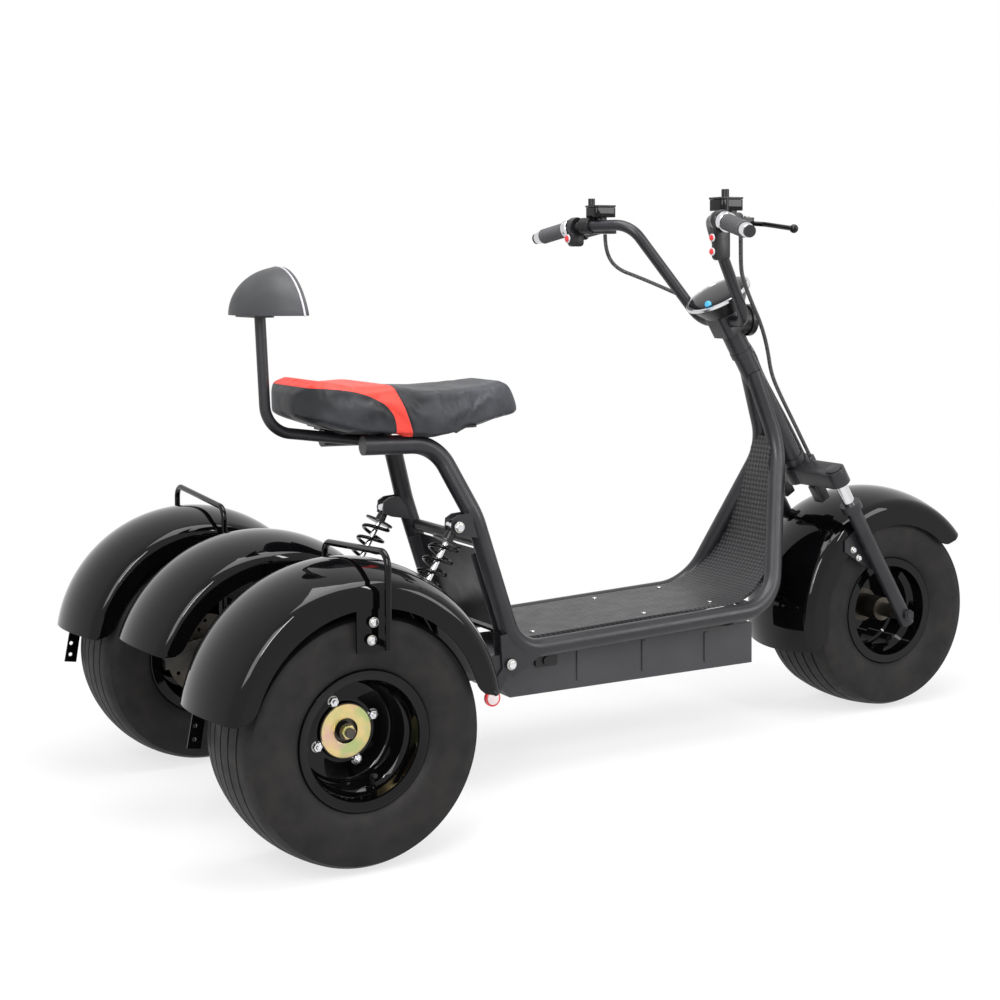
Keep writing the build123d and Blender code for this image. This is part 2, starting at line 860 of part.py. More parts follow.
# Grab handles over the outer fenders, on plates bolted inside their walls
handle_d = 12
handle_y = wall_out + 23
handle_in_y = wall_in - plate - handle_d / 2 - seat_gap
handle_foot = [(-26, 388), (28, 388), (28, 486), (-26, 486)]
handle_bolts = [(3, 440), (-1, 410)]
handle_route = [
    (27, handle_in_y, 440),
    (27, handle_in_y, 541),
    (21, handle_y, 560),
    (20, handle_y, 395),
]
handle_bend_r = 25
handle_pin = (20, 402)
with BuildPart() as grab_handles:
    for side in side_sign.values():
        route = [at(x, side * y, z) for x, y, z in handle_route]
        add(bar(route, [handle_bend_r, handle_bend_r], handle_d))
    add(side_pair(handle_foot, wall_out - sheet - plate, wall_out - sheet))
    for place in handle_bolts:
        add(side_pins(place, head_r - 2, wall_out - sheet, wall_out - sheet + head_thick))
    add(side_pins(handle_pin, handle_d / 2, wall_out - sheet, handle_y))
save(grab_handles.part, "grab_handles")


# Seat: cushion, pan, brackets, post and back pad
seat_side = [
    (seat_tail, 757), (seat_tail, 798), (72, 818), (110, 813), (165, 803), (235, 804),
    (300, 791), (372, 789), (441, 792), (540, 801), (555, 792), (seat_nose, 762), (552, 741),
    (500, 733), (430, 718), (360, 700), (266, 708), (161, 722),
]


def seat_plan(inset):
    """Seat outline from above: full behind, narrower at the nose."""
    half = seat_half - inset
    nose_half = seat_nose_half - inset
    tail = rear_axle_x + seat_tail + inset
    nose = rear_axle_x + seat_nose - inset
    waist = rear_axle_x + 330
    corners = [(tail, half), (waist, half), (nose, nose_half)]
    back = [(x, -y) for x, y in reversed(corners)]
    with BuildSketch(Plane.XY) as plan:
        with BuildLine():
            radii = [100 - inset, 200, 60 - inset, 60 - inset, 200, 100 - inset]
            FilletPolyline(*corners, *back, radius=radii, close=True)
        make_face()
    return plan.sketch


with BuildPart() as seat_cushion:
    with BuildSketch(side_plane(seat_half + 10)):
        Polygon(*seat_side, align=None)
    extrude(amount=2 * (seat_half + 10))
    extrude(seat_plan(0), amount=2 * pan_z, mode=Mode.INTERSECT)
    with BuildSketch(Plane.XY):
        with Locations((rear_axle_x + pan_x, 0)):
            Rectangle(pan_long + 4, 2 * pan_half + 8)
    extrude(amount=pan_z + pan_thick + seat_gap, mode=Mode.SUBTRACT)
save(seat_cushion.part, "seat_cushion")

with BuildPart() as seat_pan:
    with BuildSketch(Plane.XY.offset(pan_z)):
        with Locations((rear_axle_x + pan_x, 0)):
            RectangleRounded(pan_long, 2 * pan_half, pan_corner_r)
    extrude(amount=pan_thick)
save(seat_pan.part, "seat_pan")

bracket_x = 245
bracket_long = 190
bracket_y = 52
bracket_half = 16
bracket_thick = 4
bracket_slots = (-50, 50)
slot_long = 50
slot_wide = 9
foot_long = 20
with BuildPart() as seat_brackets:
    for side in side_sign.values():
        with BuildSketch(Plane.XY.offset(pan_z - bracket_thick)):
            with Locations((rear_axle_x + bracket_x, side * bracket_y)):
                Rectangle(bracket_long, 2 * bracket_half)
            for along in bracket_slots:
                with Locations((rear_axle_x + bracket_x + along, side * bracket_y)):
                    SlotOverall(slot_long, slot_wide, mode=Mode.SUBTRACT)
        extrude(amount=bracket_thick)
        with BuildSketch(Plane.XY.offset(seat_cross[2])):
            with Locations((rear_axle_x + seat_cross[0], side * bracket_y)):
                Rectangle(foot_long, 2 * bracket_half)
        extrude(amount=pan_z - bracket_thick - seat_cross[2])
    with BuildSketch(Plane(origin=at(seat_cross[0], -seat_cross[1], seat_cross[2]), z_dir=(0, 1, 0))):
        Circle(cross_d / 2)
    extrude(amount=2 * seat_cross[1], mode=Mode.SUBTRACT)
save(seat_brackets.part, "seat_brackets")

post_route = [at(x, 0, z) for x, z in (post_foot, post_bend, post_top)]
post_plate = (40, 110, 4)
with BuildPart() as backrest_post:
    add(bar(post_route, [post_bend_r], post_d))
    with BuildSketch(Plane(origin=at(0, 0, pad_low - post_plate[2]))):
        RectangleRounded(post_plate[0], post_plate[1], 6)
    extrude(amount=post_plate[2])
    with BuildSketch(Plane(origin=at(seat_cross[0], -seat_cross[1], seat_cross[2]), z_dir=(0, 1, 0))):
        Circle(cross_d / 2)
    extrude(amount=2 * seat_cross[1], mode=Mode.SUBTRACT)
save(backrest_post.part, "backrest_post")

pad_base = at(pad_front, 0, pad_low)
with BuildPart() as backrest_pad:
    with BuildSketch(Plane(origin=pad_base, x_dir=(0, 1, 0), z_dir=(1, 0, 0))):
        with BuildLine():
            Line((-pad_half, 0), (pad_half, 0))
            ThreePointArc((-pad_half, 0), (0, pad_rise), (pad_half, 0))
        make_face()
    revolve(axis=Axis(pad_base, (0, -1, 0)), revolution_arc=90)
save(backrest_pad.part, "backrest_pad")


# Steering: fork, stem, handlebar and controls
fork_front = [side * fork_half for side in side_sign.values()]
stem_top = 766
collar_top_r = 25
leg_foot = -26
axle_nut_thick = 10
axle_nut_r = 14
hose_d = 9
hose_ahead = 38
hose_apart = 11
hose_block = (24, 46, 24)

with BuildPart() as fork_crown:
    with BuildSketch(steering.offset(crown_low)):
        SlotOverall(2 * fork_half + crown_width, crown_width, rotation=90)
        Circle(crown_boss_r)
        Circle(steerer_r, mode=Mode.SUBTRACT)
        with Locations(*[(0, y) for y in fork_front]):
            Circle(stanchion_d / 2, mode=Mode.SUBTRACT)
    extrude(amount=crown_high - crown_low)
    with BuildSketch(steering.offset(crown_high - hose_block[2])):
        with Locations((hose_ahead - 6, 0)):
            RectangleRounded(hose_block[0], hose_block[1], 6)
        Circle(crown_boss_r - 2, mode=Mode.SUBTRACT)
    extrude(amount=hose_block[2])
save(fork_crown.part, "fork_crown")

bumper_low = 322
bumper_side = 28
bumper_y = 62
with BuildPart() as crown_bumpers:
    for side in side_sign.values():
        with BuildSketch(steering.offset(bumper_low)):
            with Locations((-bumper_side / 2, side * bumper_y)):
                Rectangle(bumper_side, bumper_side)
        extrude(amount=crown_low - bumper_low)
save(crown_bumpers.part, "crown_bumpers")

with BuildPart() as fork_stanchions:
    for y in fork_front:
        with BuildSketch(steering.offset(leg_top + collar_height)):
            with Locations((0, y)):
                Circle(stanchion_d / 2)
        extrude(amount=crown_high - leg_top - collar_height)
save(fork_stanchions.part, "fork_stanchions")

fork_legs_reach = fork_half + leg_d / 2
with BuildPart() as fork_legs:
    for y in fork_front:
        for radius, low, high in (
            (leg_d / 2, leg_foot, leg_top),
            (collar_d / 2, leg_top, leg_top + collar_height),
        ):
            with BuildSketch(steering.offset(low)):
                with Locations((0, y)):
                    Circle(radius)
            extrude(amount=high - low)
    axle_start = front_centre - Vector(0, fork_legs_reach + axle_nut_thick, 0)
    with BuildSketch(Plane(origin=axle_start, z_dir=(0, 1, 0))):
        Circle(front_axle_r)
    extrude(amount=2 * (fork_legs_reach + axle_nut_thick))
    for side in side_sign.values():
        nut_place = front_centre + Vector(0, side * (fork_legs_reach - 2), 0)
        with BuildSketch(Plane(origin=nut_place, z_dir=(0, side, 0))):
            RegularPolygon(axle_nut_r, 6)
        extrude(amount=axle_nut_thick)
save(fork_legs.part, "fork_legs")

with BuildPart() as steering_stem:
    with BuildSketch(steering.offset(crown_low)):
        Circle(steerer_r)
    extrude(amount=stem_top - crown_low)
    with BuildSketch(steering.offset(crown_high)):
        Circle(head_tube_d / 2)
    extrude(amount=head_tube_low - run_gap - crown_high)
    with BuildSketch(steering.offset(head_tube_high + run_gap)):
        Circle(collar_top_r)
    extrude(amount=stem_top - head_tube_high - run_gap)
save(steering_stem.part, "steering_stem")


def mirrored(points):
    """A route over both sides, given from its right tip to the centre."""
    right = [bar_at(x, -y, z) for x, y, z in points]
    left = [bar_at(x, y, z) for x, y, z in reversed(points)]
    return right + left


handlebar = bar(mirrored([bar_tip, bar_hand, bar_shoulder, bar_base]), bar_bends, bar_d)
save(handlebar, "handlebar")

clamp_height = 50
clamp_half = 34
clamp_long = 58
clamp_ahead = -4
clamp_corner_r = 14
with BuildPart() as bar_clamp:
    with BuildSketch(steering.offset(stem_top)):
        with Locations((clamp_ahead, 0)):
            RectangleRounded(clamp_long, 2 * clamp_half, clamp_corner_r)
    extrude(amount=clamp_height)
    add(handlebar, mode=Mode.SUBTRACT)
save(bar_clamp.part, "bar_clamp")

dash_ahead = 10
dash_top = 858
dash_rim = 8
dash_low = 816
dash_r = 76
dash_foot_r = 48
with BuildPart() as dash_display:
    with BuildSketch(steering.offset(dash_top - dash_rim)):
        with Locations((dash_ahead, 0)):
            Circle(dash_r)
    extrude(amount=dash_rim)
    with BuildSketch(steering.offset(dash_low)):
        with Locations((dash_ahead, 0)):
            Circle(dash_foot_r)
    with BuildSketch(steering.offset(dash_top - dash_rim)):
        with Locations((dash_ahead, 0)):
            Circle(dash_r - 5)
    loft()
    add(bar_clamp.part, mode=Mode.SUBTRACT)
    add(handlebar, mode=Mode.SUBTRACT)
save(biggest(dash_display.part), "dash_display")


# Pieces on the bar, placed by their distance in from its tip
tip_run = bar_at(bar_hand[0], -bar_hand[1], bar_hand[2]) - bar_at(bar_tip[0], -bar_tip[1], bar_tip[2])
bar_end_long = 26
grip_end = 104
collar_end = 122
grip_parts = [
    # name, from, to, radius
    ("bar_ends", 0, bar_end_long, 15),
    ("grips", bar_end_long + seat_gap, grip_end, 17.5),
    ("grip_collars", grip_end + seat_gap, collar_end, 21),
]
for name, low, high, radius in grip_parts:
    with BuildPart() as sleeves:
        for side in side_sign.values():
            inward = Vector(tip_run.X, side * -tip_run.Y, tip_run.Z).normalized()
            start = bar_at(bar_tip[0], side * bar_tip[1], bar_tip[2]) + inward * low
            with BuildSketch(Plane(origin=start, z_dir=inward)):
                Circle(radius)
            extrude(amount=high - low)
        add(handlebar, mode=Mode.SUBTRACT)
    save(sleeves.part, name)


def block(corner, opposite, side):
    """Upright box between two points measured on the left, set on the given side."""
    low = bar_at(corner[0], side * corner[1], corner[2])
    high = bar_at(opposite[0], side * opposite[1], opposite[2])
    size = high - low
    with BuildPart() as box:
        with Locations((low + high) * 0.5):
            Box(abs(size.X), abs(size.Y), abs(size.Z))
    return box.part


# Brake masters with their reservoirs, and the levers on them
lever_route = [(-545, 262, 893.5), (-530, 300, 890.5), (-528, 390, 879.5)]
lever_d = 10
lever_bend = 30
ball_r = 9
master_blocks = [
    # corner, opposite corner
    ((-650, 238, 879.5), (-582, 268, 923.5)),
    ((-586, 240, 881.5), (-530, 272, 909.5)),
    ((-612, 214, 919.5), (-552, 262, 947.5)),
    ((-606, 246, 911.5), (-586, 262, 963.5)),
]
mirror_hole = (-596, 254, 963.5)
mirror_hole_r = 4
mirror_hole_deep = 20
with BuildPart() as brake_masters:
    for side in side_sign.values():
        for corner, opposite in master_blocks:
            add(block(corner, opposite, side))
        with BuildSketch(Plane(origin=bar_at(mirror_hole[0], side * mirror_hole[1], mirror_hole[2]))):
            Circle(mirror_hole_r)
        extrude(amount=-mirror_hole_deep, mode=Mode.SUBTRACT)
    add(handlebar, mode=Mode.SUBTRACT)
save(brake_masters.part, "brake_masters")

with BuildPart() as brake_levers:
    for side in side_sign.values():
        route = [bar_at(x, side * y, z) for x, y, z in lever_route]
        add(bar(route, [lever_bend], lever_d))
        with Locations(route[-1]):
            Sphere(ball_r)
    add(brake_masters.part, mode=Mode.SUBTRACT)
save(brake_levers.part, "brake_levers")

# Switch pods hung from the bar inside the grips
pod_low = {"right": 817.5, "left": 853.5}
pod_corner = (-646, 270)
pod_opposite = (-604, 286, 921.5)
with BuildPart() as switch_pods:
    for hand, side in side_sign.items():
        add(block((*pod_corner, pod_low[hand]), pod_opposite, side))
    add(handlebar, mode=Mode.SUBTRACT)
save(switch_pods.part, "switch_pods")


# Front brake caliper behind the left leg, and the stays of the front fender


def fork_plane(y):
    """Plane seen from the right: local x ahead of the fork's axis, local y along it."""
    return Plane(origin=front_centre + Vector(0, y, 0), x_dir=steering.x_dir, z_dir=(0, -1, 0))


front_caliper_out = 108
front_caliper_wide = 44
front_carrier_thick = 10
front_carrier = [
    (-caliper_far, -caliper_half), (-40, -caliper_half), (-26, 10), (-10, 30),
    (12, 34), (12, 70), (-12, 70), (-50, caliper_half), (-caliper_far, caliper_half),
]
front_disc_middle = brake_disc_in + brake_disc_thick / 2
with BuildPart() as front_caliper:
    with BuildSketch(fork_plane(front_caliper_out)):
        with Locations((-(caliper_far + caliper_near) / 2, 0)):
            Rectangle(caliper_far - caliper_near, 2 * caliper_half)
    extrude(amount=front_caliper_wide)
    with BuildSketch(fork_plane(front_disc_middle + slot_half)):
        with Locations((-(brake_disc_r + clear_gap) / 2, 0)):
            Rectangle(brake_disc_r + clear_gap, 4 * caliper_half)
    extrude(amount=2 * slot_half, mode=Mode.SUBTRACT)
    with BuildSketch(fork_plane(front_caliper_out + front_carrier_thick)):
        Polygon(*front_carrier, align=None)
    extrude(amount=front_carrier_thick)
    add(fork_legs.part, mode=Mode.SUBTRACT)
save(biggest(front_caliper.part), "front_caliper")

stay_outline = [(-6, 125), (-6, 240), (-46, 236), (-58, 214), (-26, 150)]
stay_thick = 4
with BuildPart() as fender_stays:
    for y in (-front_half_width, front_half_width + stay_thick):
        with BuildSketch(fork_plane(y)):
            Polygon(*stay_outline, align=None)
        extrude(amount=stay_thick)
    add(fork_legs.part, mode=Mode.SUBTRACT)
save(fender_stays.part, "fender_stays")

# Round headlight on the front of the bar clamp
lamp_r = 32
lamp_rim = 4
lamp_up = 683.5
lamp_steps = [
    # from, to, radius
    (-386, -346, lamp_r),
    (-352, -338, lamp_r + lamp_rim),
]
with BuildPart() as headlight:
    for low, high, radius in lamp_steps:
        with BuildSketch(Plane(origin=bar_at(low, 0, lamp_up), z_dir=(1, 0, 0))):
            Circle(radius)
        extrude(amount=high - low)
    add(bar_clamp.part, mode=Mode.SUBTRACT)
    add(steering_stem.part, mode=Mode.SUBTRACT)
save(biggest(headlight.part), "headlight")

# Brake hoses: from under each master, past the display and down to the fork crown
hose_points = [
    (-558, 256, 881.5),
    (-558, 256, 843.5),
    (-542, 236, 801.5),
    (-502, 190, 779.5),
    (-420, 112, 729.5),
    (-350, 58, 676.5),
    (-308, 28, 619.5),
    (-290, 18, 561.5),
    (-262, 14, 513.5),
]


def bend_radii(points):
    """The largest arc that each corner's two runs allow."""
    radii = []
    for before, corner, after in zip(points, points[1:], points[2:]):
        turn = (corner - before).get_angle(after - corner)
        shorter = min((corner - before).length, (after - corner).length)
        radii.append(0.45 * shorter / tan(radians(turn) / 2))
    return radii


with BuildPart() as brake_hoses:
    for side in side_sign.values():
        route = [bar_at(x, side * y, z) for x, y, z in hose_points]
        route.append(steer_at(hose_ahead, side * hose_apart, crown_high + 80))
        route.append(steer_at(hose_ahead, side * hose_apart, crown_high))
        radii = bend_radii(route)
        add(bar(route, radii, hose_d))
print("hose bend radii", [round(radius) for radius in radii])
print("hose runs", [round((b - a).length) for a, b in zip(route, route[1:])])
save(brake_hoses.part, "brake_hoses")
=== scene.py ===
import logging
import math
from dataclasses import dataclass
from enum import Enum
from typing import Sequence

import bmesh
import bpy
from mathutils import Matrix, Vector


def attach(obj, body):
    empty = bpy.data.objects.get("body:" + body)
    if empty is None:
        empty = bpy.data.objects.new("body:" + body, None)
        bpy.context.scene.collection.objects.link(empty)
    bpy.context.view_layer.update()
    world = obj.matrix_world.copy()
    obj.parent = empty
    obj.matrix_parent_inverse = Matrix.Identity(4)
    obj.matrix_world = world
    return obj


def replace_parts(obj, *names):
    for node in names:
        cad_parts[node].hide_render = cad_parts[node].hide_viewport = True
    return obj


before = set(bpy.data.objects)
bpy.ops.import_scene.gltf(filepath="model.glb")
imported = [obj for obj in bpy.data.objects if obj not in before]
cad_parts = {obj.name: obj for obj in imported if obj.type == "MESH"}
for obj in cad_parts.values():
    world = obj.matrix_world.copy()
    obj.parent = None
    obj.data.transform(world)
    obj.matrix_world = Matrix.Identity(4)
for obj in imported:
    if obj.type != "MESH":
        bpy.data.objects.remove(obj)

log = logging.getLogger("scooter")
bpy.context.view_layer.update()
REAR_AXLE_X = -0.737915
WHEELBASE = 1.530
AXLE_Z = 0.2285
HALF_TRACK = 0.390
RAKE = math.radians(30.5)
ACROSS = Vector((0, 1, 0))
UP = Vector((0, 0, 1))
Colour = tuple[float, float, float]
Point = tuple[float, float, float]
Profile = Sequence[tuple[float, float]]


class Body(Enum):
    """The bodies of the scooter that pieces ride on."""

    CHASSIS = "chassis"
    STEERING = "steering"
    FRONT_WHEEL = "front_wheel"
    REAR_RIGHT = "rear_wheel_right"
    REAR_LEFT = "rear_wheel_left"


class Side(Enum):
    """The rider's right and left, as the sign of Y."""

    RIGHT = -1
    LEFT = 1

    @property
    def label(self) -> str:
        """The side's word in the names of pieces."""
        return self.name.lower()

    @property
    def out(self) -> Vector:
        """The way out from the scooter's middle."""
        return Vector((0, self.value, 0))

    def at(self, x: float, y: float, z: float) -> Vector:
        """A point on this side, from millimetres ahead of the rear axle, outwards and up."""
        return at(x, self.value * y, z)


def at(x: float, y: float, z: float) -> Vector:
    """A point in metres from millimetres measured ahead of the rear axle.

    Args:
        x: Distance ahead of the rear axle.
        y: Distance to the rider's left.
        z: Height above the ground.

    Returns:
        The point in the shared frame.
    """
    return Vector((REAR_AXLE_X + x / 1000, y / 1000, z / 1000))


def steer_at(ahead: float, y: float, along: float) -> Vector:
    """A point in metres from millimetres measured on the steering axis.

    Args:
        ahead: Distance ahead of the steering axis, square to it.
        y: Distance to the rider's left.
        along: Distance up the steering axis from the front axle.

    Returns:
        The point in the shared frame.
    """
    origin = at(WHEELBASE * 1000, y, AXLE_Z * 1000)
    ahead_dir = Vector((math.cos(RAKE), 0, math.sin(RAKE)))
    up_dir = Vector((-math.sin(RAKE), 0, math.cos(RAKE)))
    return origin + ahead_dir * ahead / 1000 + up_dir * along / 1000


class Graph:
    """A material's node tree with short calls for the nodes that finishes use."""

    def __init__(self, name: str) -> None:
        """Starts an empty material.

        Args:
            name: The material's name.
        """
        self.material = bpy.data.materials.new(name)
        self.material.use_nodes = True
        self.tree = self.material.node_tree
        self.tree.nodes.clear()
        self.shader = self.tree.nodes.new("ShaderNodeBsdfPrincipled")
        output = self.tree.nodes.new("ShaderNodeOutputMaterial")
        self.tree.links.new(self.shader.outputs["BSDF"], output.inputs["Surface"])
        self.coords = self.tree.nodes.new("ShaderNodeTexCoord").outputs["Object"]

    def link(self, source: bpy.types.NodeSocket, target: bpy.types.NodeSocket) -> None:
        """Joins one output to one input."""
        self.tree.links.new(source, target)

    def feed(self, target: bpy.types.NodeSocket, value: object) -> None:
        """Sets an input from a number or links it from a socket.

        Args:
            target: The input.
            value: A number, a colour or a socket.
        """
        if isinstance(value, bpy.types.NodeSocket):
            self.link(value, target)
        else:
            target.default_value = value

    def math(self, operation: str, first: object, second: object = 0.0) -> bpy.types.NodeSocket:
        """One arithmetic step.

        Args:
            operation: The Math node's operation.
            first: A number or a socket.
            second: A number or a socket.

        Returns:
            The result's socket.
        """
        node = self.tree.nodes.new("ShaderNodeMath")
        node.operation = operation
        self.feed(node.inputs[0], first)
        self.feed(node.inputs[1], second)
        return node.outputs[0]

    def noise(self, scale: float, detail: float = 4.0, rough: float = 0.55) -> bpy.types.NodeSocket:
        """Cloudy noise over the piece.

        Args:
            scale: Clouds to a metre.
            detail: Number of finer layers.
            rough: Strength of the finer layers.

        Returns:
            The noise's height socket.
        """
        node = self.tree.nodes.new("ShaderNodeTexNoise")
        node.inputs["Scale"].default_value = scale
        node.inputs["Detail"].default_value = detail
        node.inputs["Roughness"].default_value = rough
        self.link(self.coords, node.inputs["Vector"])
        return node.outputs["Fac"]

    def cells(self, scale: float, feature: str = "F1") -> bpy.types.NodeSocket:
        """Cell pattern over the piece.

        Args:
            scale: Cells to a metre.
            feature: The Voronoi node's feature.

        Returns:
            The distance socket.
        """
        node = self.tree.nodes.new("ShaderNodeTexVoronoi")
        node.feature = feature
        node.inputs["Scale"].default_value = scale
        self.link(self.coords, node.inputs["Vector"])
        return node.outputs["Distance"]

    def spread(
        self, value: object, low: float, high: float, to_low: float, to_high: float
    ) -> bpy.types.NodeSocket:
        """Maps a range to another, clamped.

        Args:
            value: The incoming socket.
            low: Start of the incoming range.
            high: End of the incoming range.
            to_low: Value at its start.
            to_high: Value at its end.

        Returns:
            The mapped socket.
        """
        node = self.tree.nodes.new("ShaderNodeMapRange")
        ends = (("From Min", low), ("From Max", high), ("To Min", to_low), ("To Max", to_high))
        for name, number in ends:
            node.inputs[name].default_value = number
        self.feed(node.inputs["Value"], value)
        return node.outputs["Result"]

    def blend(self, share: object, first: object, second: object) -> bpy.types.NodeSocket:
        """Mixes two colours.

        Args:
            share: Share of the second colour.
            first: A colour or a socket.
            second: A colour or a socket.

        Returns:
            The mixed colour's socket.
        """
        node = self.tree.nodes.new("ShaderNodeMix")
        node.data_type = "RGBA"
        self.feed(node.inputs["Factor"], share)
        for socket, value in ((node.inputs[6], first), (node.inputs[7], second)):
            self.feed(socket, value if isinstance(value, bpy.types.NodeSocket) else (*value, 1))
        return node.outputs[2]

    def axes(self) -> tuple[bpy.types.NodeSocket, bpy.types.NodeSocket, bpy.types.NodeSocket]:
        """Reads the piece's own coordinates.

        Returns:
            The sockets of X, Y and Z.
        """
        node = self.tree.nodes.new("ShaderNodeSeparateXYZ")
        self.link(self.coords, node.inputs[0])
        return node.outputs[0], node.outputs[1], node.outputs[2]

    def relief(self, height: object, depth: float, under: object = None) -> bpy.types.NodeSocket:
        """Raises the surface by a height pattern.

        Args:
            height: The pattern's socket.
            depth: The height of a full step, in metres.
            under: A normal from a coarser relief.

        Returns:
            The bent normal's socket.
        """
        node = self.tree.nodes.new("ShaderNodeBump")
        node.inputs["Distance"].default_value = depth
        self.feed(node.inputs["Height"], height)
        if under is not None:
            self.link(under, node.inputs["Normal"])
        return node.outputs["Normal"]


@dataclass(frozen=True)
class Finish:
    """A plain finish: colour clouds, uneven gloss, fine relief and small scuffs."""

    name: str
    colour: Colour
    worn: Colour
    roughness: float
    metal: float = 0.0
    specular: float = 0.5
    coat: float = 0.0
    coat_roughness: float = 0.04
    scuff_colour: Colour = (0.32, 0.31, 0.30)
    grain: float = 900.0
    grain_depth: float = 0.00006
    clouds: float = 9.0
    scuffs: float = 0.0
    gloss_drift: float = 0.07

    def start(self) -> Graph:
        """Sets the finish's constants on the shader's own sockets.

        Returns:
            The finish's graph.
        """
        graph = Graph(self.name)
        inputs = graph.shader.inputs
        inputs["Metallic"].default_value = self.metal
        inputs["Specular IOR Level"].default_value = self.specular
        inputs["Coat Weight"].default_value = self.coat
        inputs["Coat Roughness"].default_value = self.coat_roughness
        return graph

    def colour_of(self, graph: Graph) -> bpy.types.NodeSocket:
        """Base colour with clouds of wear and a few light scuffs.

        Args:
            graph: The finish's graph.

        Returns:
            The colour's socket.
        """
        cloud = graph.spread(graph.noise(self.clouds, 6), 0.35, 0.75, 0, 1)
        colour = graph.blend(cloud, self.colour, self.worn)
        if self.scuffs:
            specks = graph.spread(graph.noise(140, 5, 0.7), 0.74, 0.78, 0, 1)
            patches = graph.spread(graph.noise(14, 3), 0.5, 0.62, 0, self.scuffs)
            colour = graph.blend(graph.math("MULTIPLY", specks, patches), colour, self.scuff_colour)
        return colour

    def height_of(self, graph: Graph) -> bpy.types.NodeSocket:
        """The fine relief of the surface."""
        return graph.noise(self.grain, 3)

    def build(self) -> bpy.types.Material:
        """Makes the material.

        Returns:
            The finished material.
        """
        graph = self.start()
        inputs = graph.shader.inputs
        graph.link(self.colour_of(graph), inputs["Base Color"])
        drift = graph.noise(self.clouds * 3, 5)
        smooth, rough = self.roughness - self.gloss_drift / 2, self.roughness + self.gloss_drift
        gloss = graph.spread(drift, 0.3, 0.7, smooth, rough)
        graph.link(gloss, inputs["Roughness"])
        graph.link(graph.relief(self.height_of(graph), self.grain_depth), inputs["Normal"])
        return graph.material


@dataclass(frozen=True)
class Vinyl(Finish):
    """Grained upholstery vinyl."""

    def height_of(self, graph: Graph) -> bpy.types.NodeSocket:
        """Small rounded pebbles with creases between them."""
        pebbles = graph.spread(graph.cells(self.grain, "SMOOTH_F1"), 0.0, 0.6, 1, 0)
        return graph.math("ADD", pebbles, graph.math("MULTIPLY", graph.noise(60, 4), 2.5))


@dataclass(frozen=True)
class SaddleVinyl(Vinyl):
    """Saddle cover: a red band over the tail and down each side, black elsewhere."""

    red: Colour = (0.72, 0.045, 0.03)
    faded: Colour = (0.60, 0.05, 0.035)
    thread: Colour = (0.012, 0.012, 0.014)
    seam_half: float = 0.0012
    rim_share: float = 0.022
    tail: float = 0.050
    low: float = 0.711
    panel_long: float = 0.186
    panel_high: float = 0.097
    roundness: float = 2.5
    band_foot: float = 0.276
    band_lean: float = 0.43

    def fronts(self, graph: Graph) -> tuple[bpy.types.NodeSocket, bpy.types.NodeSocket]:
        """How far a point lies outside the black tail panel and behind the band's front edge.

        Args:
            graph: The finish's graph.

        Returns:
            The panel's measure, 1 on its edge, and the distance behind the band's front edge.
        """
        x, _, z = graph.axes()
        along = graph.math("MAXIMUM", graph.math("SUBTRACT", x, REAR_AXLE_X + self.tail), 0.0)
        rise = graph.math("MAXIMUM", graph.math("SUBTRACT", z, self.low), 0.0)
        long_share = graph.math("DIVIDE", along, self.panel_long)
        long_part = graph.math("POWER", long_share, self.roundness)
        high_share = graph.math("DIVIDE", rise, self.panel_high)
        high_part = graph.math("POWER", high_share, self.roundness)
        lean = graph.math("MULTIPLY", rise, self.band_lean)
        behind = graph.math("SUBTRACT", REAR_AXLE_X + self.band_foot, graph.math("ADD", x, lean))
        return graph.math("ADD", long_part, high_part), behind

    def colour_of(self, graph: Graph) -> bpy.types.NodeSocket:
        """Black vinyl with the red band and dark sewn edges.

        Args:
            graph: The finish's graph.

        Returns:
            The colour's socket.
        """
        panel, behind = self.fronts(graph)
        outside = graph.spread(panel, 0.995, 1.01, 0, 1)
        before = graph.spread(behind, 0.0, 0.0006, 0, 1)
        red = graph.blend(graph.noise(6, 5), self.red, self.faded)
        black = super().colour_of(graph)
        colour = graph.blend(graph.math("MULTIPLY", outside, before), black, red)
        edge = graph.math("LESS_THAN", graph.math("ABSOLUTE", behind), self.seam_half)
        off_rim = graph.math("ABSOLUTE", graph.math("SUBTRACT", panel, 1.0))
        rim = graph.math("LESS_THAN", off_rim, self.rim_share)
        rim = graph.math("MULTIPLY", rim, graph.math("GREATER_THAN", behind, 0.0))
        return graph.blend(graph.math("MAXIMUM", edge, rim), colour, self.thread)

    def height_of(self, graph: Graph) -> bpy.types.NodeSocket:
        """Grain with the seams pulled in along the band's edges.

        Args:
            graph: The finish's graph.

        Returns:
            The relief's socket.
        """
        _, behind = self.fronts(graph)
        groove = graph.spread(graph.math("ABSOLUTE", behind), 0.0, 0.004, -14, 0)
        return graph.math("ADD", super().height_of(graph), groove)


@dataclass(frozen=True)
class MatRubber(Finish):
    """Floor mat with rows of small raised lozenges."""

    pitch: float = 0.0155
    stretch: float = 1.6
    slant: float = 1.15
    # Painted shade: colour of the grooves between the raised cells.
    groove: Colour = (0.009, 0.009, 0.010)

    def colour_of(self, graph: Graph) -> bpy.types.NodeSocket:
        """Rubber with painted shade in the grooves between the cells."""
        return graph.blend(self.height_of(graph), self.groove, super().colour_of(graph))

    def height_of(self, graph: Graph) -> bpy.types.NodeSocket:
        """Rows of raised cells, along the floor and up the apron.

        Args:
            graph: The finish's graph.

        Returns:
            The relief's socket.
        """
        x, y, z = graph.axes()
        run = graph.math("ADD", x, z)
        waves = []
        for share in (self.slant, -self.slant):
            mixed = graph.math("ADD", run, graph.math("MULTIPLY", y, share))
            rate = 2 * math.pi / self.pitch / self.stretch
            waves.append(graph.math("SINE", graph.math("MULTIPLY", mixed, rate)))
        return graph.spread(graph.math("MULTIPLY", waves[0], waves[1]), -0.2, 0.3, 0, 1)


